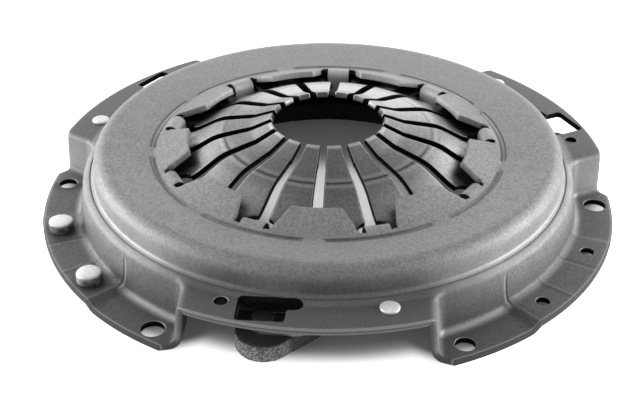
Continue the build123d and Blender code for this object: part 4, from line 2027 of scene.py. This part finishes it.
class StrapLeaf:
    """One leaf of a strap pack, from under the cover's rivet down to the lug."""

    COLUMNS = 7
    BLUNT = 0.995

    def __init__(self, size: Drive, angle: float, leaf: int) -> None:
        """Draws the leaf's path.

        Args:
            size: the drive's sizes.
            angle: the raised section's angle.
            leaf: the leaf's number, from the top.
        """
        self.size, self.angle = size, angle
        self.half = size.leaf_half_width
        top = size.strap_top - leaf * size.leaf_pitch
        low = top - size.strap_drop
        pad, end = size.pad_length, size.pad_length * size.pad_end
        self.path = Section(
            [
                Corner(size.cover_across + end, top),
                Corner(size.cover_across - pad, top, size.strap_bend),
                Corner(size.lug_across + pad, low, size.strap_bend),
                Corner(size.lug_across - end, low),
            ]
        ).points

    def width(self, along: float) -> float:
        """Half width of the leaf, round at both ends.

        Args:
            along: distance across the raised section.

        Returns:
            The half width there.
        """
        size = self.size
        past = max(along - size.cover_across, size.lug_across - along)
        if past <= 0:
            return self.half
        return sqrt(max(0.0, self.half**2 - min(past, self.half * self.BLUNT) ** 2))

    def place(self, column: int, row: int) -> Vector:
        """Place of one corner of the leaf's upper face.

        Args:
            column: the corner's column, across the leaf.
            row: its row, along the leaf.

        Returns:
            The place.
        """
        along, up = self.path[row]
        aside = column / (self.COLUMNS // 2) - 1
        return on_raised(self.angle, self.size.out - self.width(along) * aside, along, up)

    def build(self, name: str) -> bpy.types.Object:
        """Makes the leaf.

        Args:
            name: the piece's name.

        Returns:
            The finished mesh object.
        """
        piece = Bench.grid(name, self.COLUMNS, len(self.path), self.place)
        Bench.thicken(piece, self.size.leaf)
        Bench.soften(piece, self.size.leaf_bevel)
        Bench.finish(piece)
        return piece


# ---- Rivets and washers -------------------------------------------------------
class Turned:
    """A turned piece on a seat, which a kind of it outlines from the axis and back to it."""

    STEPS = 56
    CHAMFER = 0.0002
    dent = 0.0

    def outline(self) -> tuple[Span, ...]:
        """Radius and height above the seat of each corner."""
        raise NotImplementedError

    def build(self, name: str, at: Vector, seed: float) -> bpy.types.Object:
        """Makes the piece.

        Args:
            name: the piece's name.
            at: centre of its seat.
            seed: sets how its hammered head is out of true.

        Returns:
            The finished mesh object.
        """
        piece = Bench.lathe(name, self.outline(), at, self.STEPS)
        for corner in piece.data.vertices:
            flat = corner.co - at
            turn = atan2(flat.y, flat.x)
            if flat.z > 0:
                out = self.dent * (sin(3 * turn + seed) + 0.6 * sin(5 * turn + 2 * seed))
                corner.co.x += flat.x * out
                corner.co.y += flat.y * out
        Bench.finish(piece)
        return piece


@dataclass(frozen=True)
class Rivet(Turned):
    """A closed rivet: its foot below the sheets, its shank and its crowned head on the seat."""

    foot_radius: float
    foot: float
    shank: float
    length: float
    head_radius: float
    head: float
    crown: float
    dent: float

    def outline(self) -> tuple[Span, ...]:
        """Radius and height of each corner.

        Returns:
            The corners, from the axis at the bottom to the axis at the top.
        """
        low, chamfer = -self.length, self.CHAMFER
        rounding = [
            (self.head_radius - self.crown * (1 - sin(turn)), self.head - self.crown * (1 - cos(turn)))
            for turn in map(radians, (90, 70, 50, 30, 10))
        ]
        return (
            (0.0, low - self.foot),
            (self.foot_radius - chamfer * 2, low - self.foot),
            (self.foot_radius, low - self.foot + chamfer * 2),
            (self.foot_radius, low - chamfer),
            (self.foot_radius - chamfer, low),
            (self.shank, low),
            (self.shank, 0.0),
            (self.head_radius - chamfer, 0.0),
            (self.head_radius, chamfer),
            *rounding,
            (self.head_radius * 0.55, self.head + self.crown * 0.10),
            (0.0, self.head + self.crown * 0.14),
        )


@dataclass(frozen=True)
class Washer(Turned):
    """A flat washer with its outer edges broken."""

    hole: float
    radius: float
    thickness: float

    def outline(self) -> tuple[Span, ...]:
        """Radius and height of each corner.

        Returns:
            The corners, once round the washer's section.
        """
        inside = self.radius - self.CHAMFER
        return (
            (self.hole, 0.0),
            (inside, 0.0),
            (self.radius, self.CHAMFER),
            (self.radius, self.thickness - self.CHAMFER),
            (inside, self.thickness),
            (self.hole, self.thickness),
            (self.hole, 0.0),
        )


STRAP_RIVET = Rivet(
    foot_radius=0.0048,
    foot=0.0020,
    shank=0.0028,
    length=0.0048,
    head_radius=0.0037,
    head=0.0010,
    crown=0.0004,
    dent=0.010,
)
BALANCE_RIVET = Rivet(
    foot_radius=0.0036,
    foot=0.0013,
    shank=0.0025,
    length=0.0025,
    head_radius=0.0050,
    head=0.0040,
    crown=0.0008,
    dent=0.014,
)
LUG_RIVET = Rivet(
    foot_radius=0.0044,
    foot=0.0016,
    shank=0.0028,
    length=0.0080,
    head_radius=0.0044,
    head=0.0018,
    crown=0.0006,
    dent=0.008,
)
LUG_WASHER = Washer(hole=0.0031, radius=0.0056, thickness=0.0008)


# ---- Assembly -----------------------------------------------------------------
class Assembly:
    """Builds every piece, gives it its finish and fixes it to its body."""

    def __init__(self, frame: dict, finishes: Finishes) -> None:
        """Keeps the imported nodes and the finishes."""
        self.nodes = frame["nodes"]
        self.finishes = finishes

    def add(self, piece: bpy.types.Object, node: str, metal: Metals, body: str | None) -> None:
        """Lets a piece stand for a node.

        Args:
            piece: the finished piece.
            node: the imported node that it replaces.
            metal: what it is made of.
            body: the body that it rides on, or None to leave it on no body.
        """
        self.finishes.dress(piece, metal)
        if body:
            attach(piece, body)
        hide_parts(node)
        log.info("%s: %d faces", piece.name, len(piece.data.polygons))

    def large_pieces(self) -> None:
        """The cover, the spring, the plate and the pivot ring."""
        self.add(COVER.build(), "cover", Metals.COVER, "cover_body")
        spring = SPRING.build()
        self.add(spring, "diaphragm_spring", Metals.SPRING, "cover_body")
        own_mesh(spring)
        self.add(Casting().build(self.nodes["pressure_plate"]), "pressure_plate", Metals.CAST, "plate_body")
        self.add(DRIVE.ring(), "lower_pivot_ring", Metals.WIRE, "cover_body")

    def straps(self) -> None:
        """Nine leaves, each bent from the cover down to the plate."""
        size = DRIVE
        for letter, angle in zip("abc", size.raised_angles):
            for leaf in range(size.leaves):
                piece = StrapLeaf(size, angle, leaf).build(f"leaf_{letter}_{leaf + 1}")
                self.add(piece, f"strap_{letter}_leaf_{leaf + 1}", Metals.STRAP, None)
                on_raised(angle, size.out, size.cover_across - size.pad_length, size.strap_middle)
                on_raised(angle, size.out, size.lug_across + size.pad_length, size.strap_middle)
                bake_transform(piece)

    def strap_rivets(self) -> None:
        """The rivets on the raised sections, and the washers and rivets on the lugs."""
        size = DRIVE
        for seed, (letter, angle) in enumerate(zip("abc", size.raised_angles)):
            low, high = (corner.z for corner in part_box(f"lug_washer_{letter}"))
            at = on_raised(angle, size.out, size.cover_across, COVER.ledge_height)
            rivet = STRAP_RIVET.build(f"strap_rivet_{letter}", at, seed)
            self.add(rivet, f"cover_rivet_{letter}", Metals.BRIGHT, "cover_body")
            at = on_raised(angle, size.out, size.lug_across, low)
            washer = LUG_WASHER.build(f"seat_washer_{letter}", at, seed)
            self.add(washer, f"lug_washer_{letter}", Metals.DARK, "plate_body")
            at = on_raised(angle, size.out, size.lug_across, high)
            rivet = LUG_RIVET.build(f"plate_rivet_{letter}", at, seed + 0.5)
            self.add(rivet, f"lug_rivet_{letter}", Metals.DARK, "plate_body")

    def balance_rivets(self) -> None:
        """The two balance rivets in the pad of one lobe."""
        for seed, (letter, side) in enumerate((("a", -1), ("b", 1))):
            angle = DRIVE.balance_lobe + side * COVER.pad_hole_angle
            at = polar(COVER.pad_hole_circle, angle, COVER.sheet + COVER.pad_rise)
            rivet = BALANCE_RIVET.build(f"balance_head_{letter}", at, seed * 2.1)
            self.add(rivet, f"balance_rivet_{letter}", Metals.BRIGHT, "cover_body")


# ---- Studio -------------------------------------------------------------------
@dataclass(frozen=True)
class Softbox:
    """A square light that faces the part."""

    name: str
    place: tuple[float, float, float]
    side: float
    power: float

    def hang(self) -> None:
        """Puts the light in the scene, turned to the part's middle."""
        light = bpy.data.lights.new(self.name, "AREA")
        light.shape = "SQUARE"
        light.size = self.side
        light.energy = self.power
        lamp = bpy.data.objects.new(self.name, light)
        bpy.context.scene.collection.objects.link(lamp)
        lamp.location = self.place
        aim = Vector((0, 0, COVER.ledge_height)) - Vector(self.place)
        lamp.rotation_euler = aim.to_track_quat("-Z", "Y").to_euler()


class Studio:
    """Pale floor, soft light, even surroundings and the camera."""

    BOXES = (
        Softbox("left_low", (-1.3, 0.1, 0.3), 0.7, 18.5),
        Softbox("left_high", (-1.0, 0.2, 1.1), 0.9, 2.6),
        Softbox("left_back", (-0.9, 0.9, 0.6), 0.9, 4.6),
        Softbox("right_low", (1.3, 0.1, 0.3), 0.7, 18.5),
        Softbox("right_high", (1.0, 0.2, 1.1), 0.9, 2.2),
        Softbox("right_back", (0.9, 0.9, 0.6), 0.9, 5.6),
        Softbox("back_low", (0.0, 1.4, 0.3), 0.8, 3.2),
        Softbox("front_left", (-0.9, -0.8, 0.5), 0.8, 2.0),
    )
    CAMERA_PLACE = (0.03185, -0.44440, 0.27755)
    CAMERA_AIM = (-0.06683, 0.84456, -0.53126)
    LENS = 68.13
    FLOOR_SIZE = 8
    FLOOR_HEIGHT = -0.0003
    LIGHT_ON_PART = 0.50

    def build(self) -> None:
        """Makes the whole studio."""
        self.floor()
        self.surroundings()
        for box in self.BOXES:
            box.hang()
        self.camera()
        bpy.context.scene.view_settings.view_transform = "Standard"

    def floor(self) -> None:
        """A wide pale floor, clear as air to what looks up through it."""
        bpy.ops.object.select_all(action="DESELECT")
        bpy.ops.mesh.primitive_plane_add(size=self.FLOOR_SIZE, location=(0, 0, self.FLOOR_HEIGHT))
        floor = bpy.context.object
        floor.name = "studio_floor"
        nodes = self.paper()
        from_below = nodes.add(
            "ShaderNodeMixShader",
            Fac=nodes.add("ShaderNodeNewGeometry").outputs["Backfacing"],
        )
        nodes.feed(from_below.inputs[1], nodes.shader.outputs["BSDF"])
        nodes.feed(from_below.inputs[2], nodes.add("ShaderNodeBsdfTransparent").outputs["BSDF"])
        nodes.feed(nodes.tree.nodes["Material Output"].inputs["Surface"], from_below.outputs["Shader"])
        floor.data.materials.append(nodes.material)

    @staticmethod
    def paper() -> FinishNodes:
        """Paints the floor, which is white to the camera, with painted shade under and near the part and a
        painted glow under the bore.

        Returns:
            The nodes of its material.
        """
        nodes = FinishNodes("floor_paper")
        radius = nodes.radius
        seen = Reading(nodes, nodes.add("ShaderNodeLightPath").outputs["Is Camera Ray"])
        lobe = abs(nodes.fold(COVER.first_wide_tab, COVER.lobe_pitch)).step(20.0, 26.0)
        # Painted glow to the camera beyond the part, leaving painted shade near it.
        outside = (radius - lobe * 0.0085).step(0.1030, 0.1140)
        # Painted glow on the floor under the bore, seen only by the camera.
        bore_glow = radius.step(0.036, 0.022)
        # Painted shade on the floor under the part.
        under_part_shade = (radius - lobe * 0.012).step(0.1045, 0.0990) * radius.step(0.032, 0.042)
        nodes.paint(
            Base_Color=nodes.blend(under_part_shade, tone(0.93), tone(0.40)),
            Roughness=0.9,
            Emission_Color=nodes.blend((0.04 + 0.85 * outside + 0.30 * bore_glow) * seen, tone(0.0), tone(1.0)),
            Emission_Strength=1.0,
        )
        return nodes

    def surroundings(self) -> None:
        """White to the camera, and greyer to everything that they light."""
        world = bpy.data.worlds.new("studio_air")
        world.use_nodes = True
        bpy.context.scene.world = world
        nodes = Nodes(world.node_tree)
        seen = nodes.add("ShaderNodeLightPath").outputs["Is Camera Ray"]
        shade = nodes.blend(seen, tone(self.LIGHT_ON_PART), tone(1.0))
        nodes.feed(world.node_tree.nodes["Background"].inputs["Color"], shade)

    def camera(self) -> None:
        """The camera, over the front edge and looking down at the part."""
        lens = bpy.data.cameras.new("camera")
        lens.sensor_width = 36.0
        lens.lens = self.LENS
        camera = bpy.data.objects.new("camera", lens)
        bpy.context.scene.collection.objects.link(camera)
        camera.location = self.CAMERA_PLACE
        camera.rotation_euler = Vector(self.CAMERA_AIM).to_track_quat("-Z", "Y").to_euler()
        bpy.context.scene.camera = camera


def main() -> None:
    """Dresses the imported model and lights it."""
    logging.basicConfig(level=logging.INFO, format="%(name)s: %(message)s")
    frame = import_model()
    assembly = Assembly(frame, Finishes())
    assembly.large_pieces()
    assembly.straps()
    assembly.strap_rivets()
    assembly.balance_rivets()
    Studio().build()


if __name__ == "__main__":
    main()
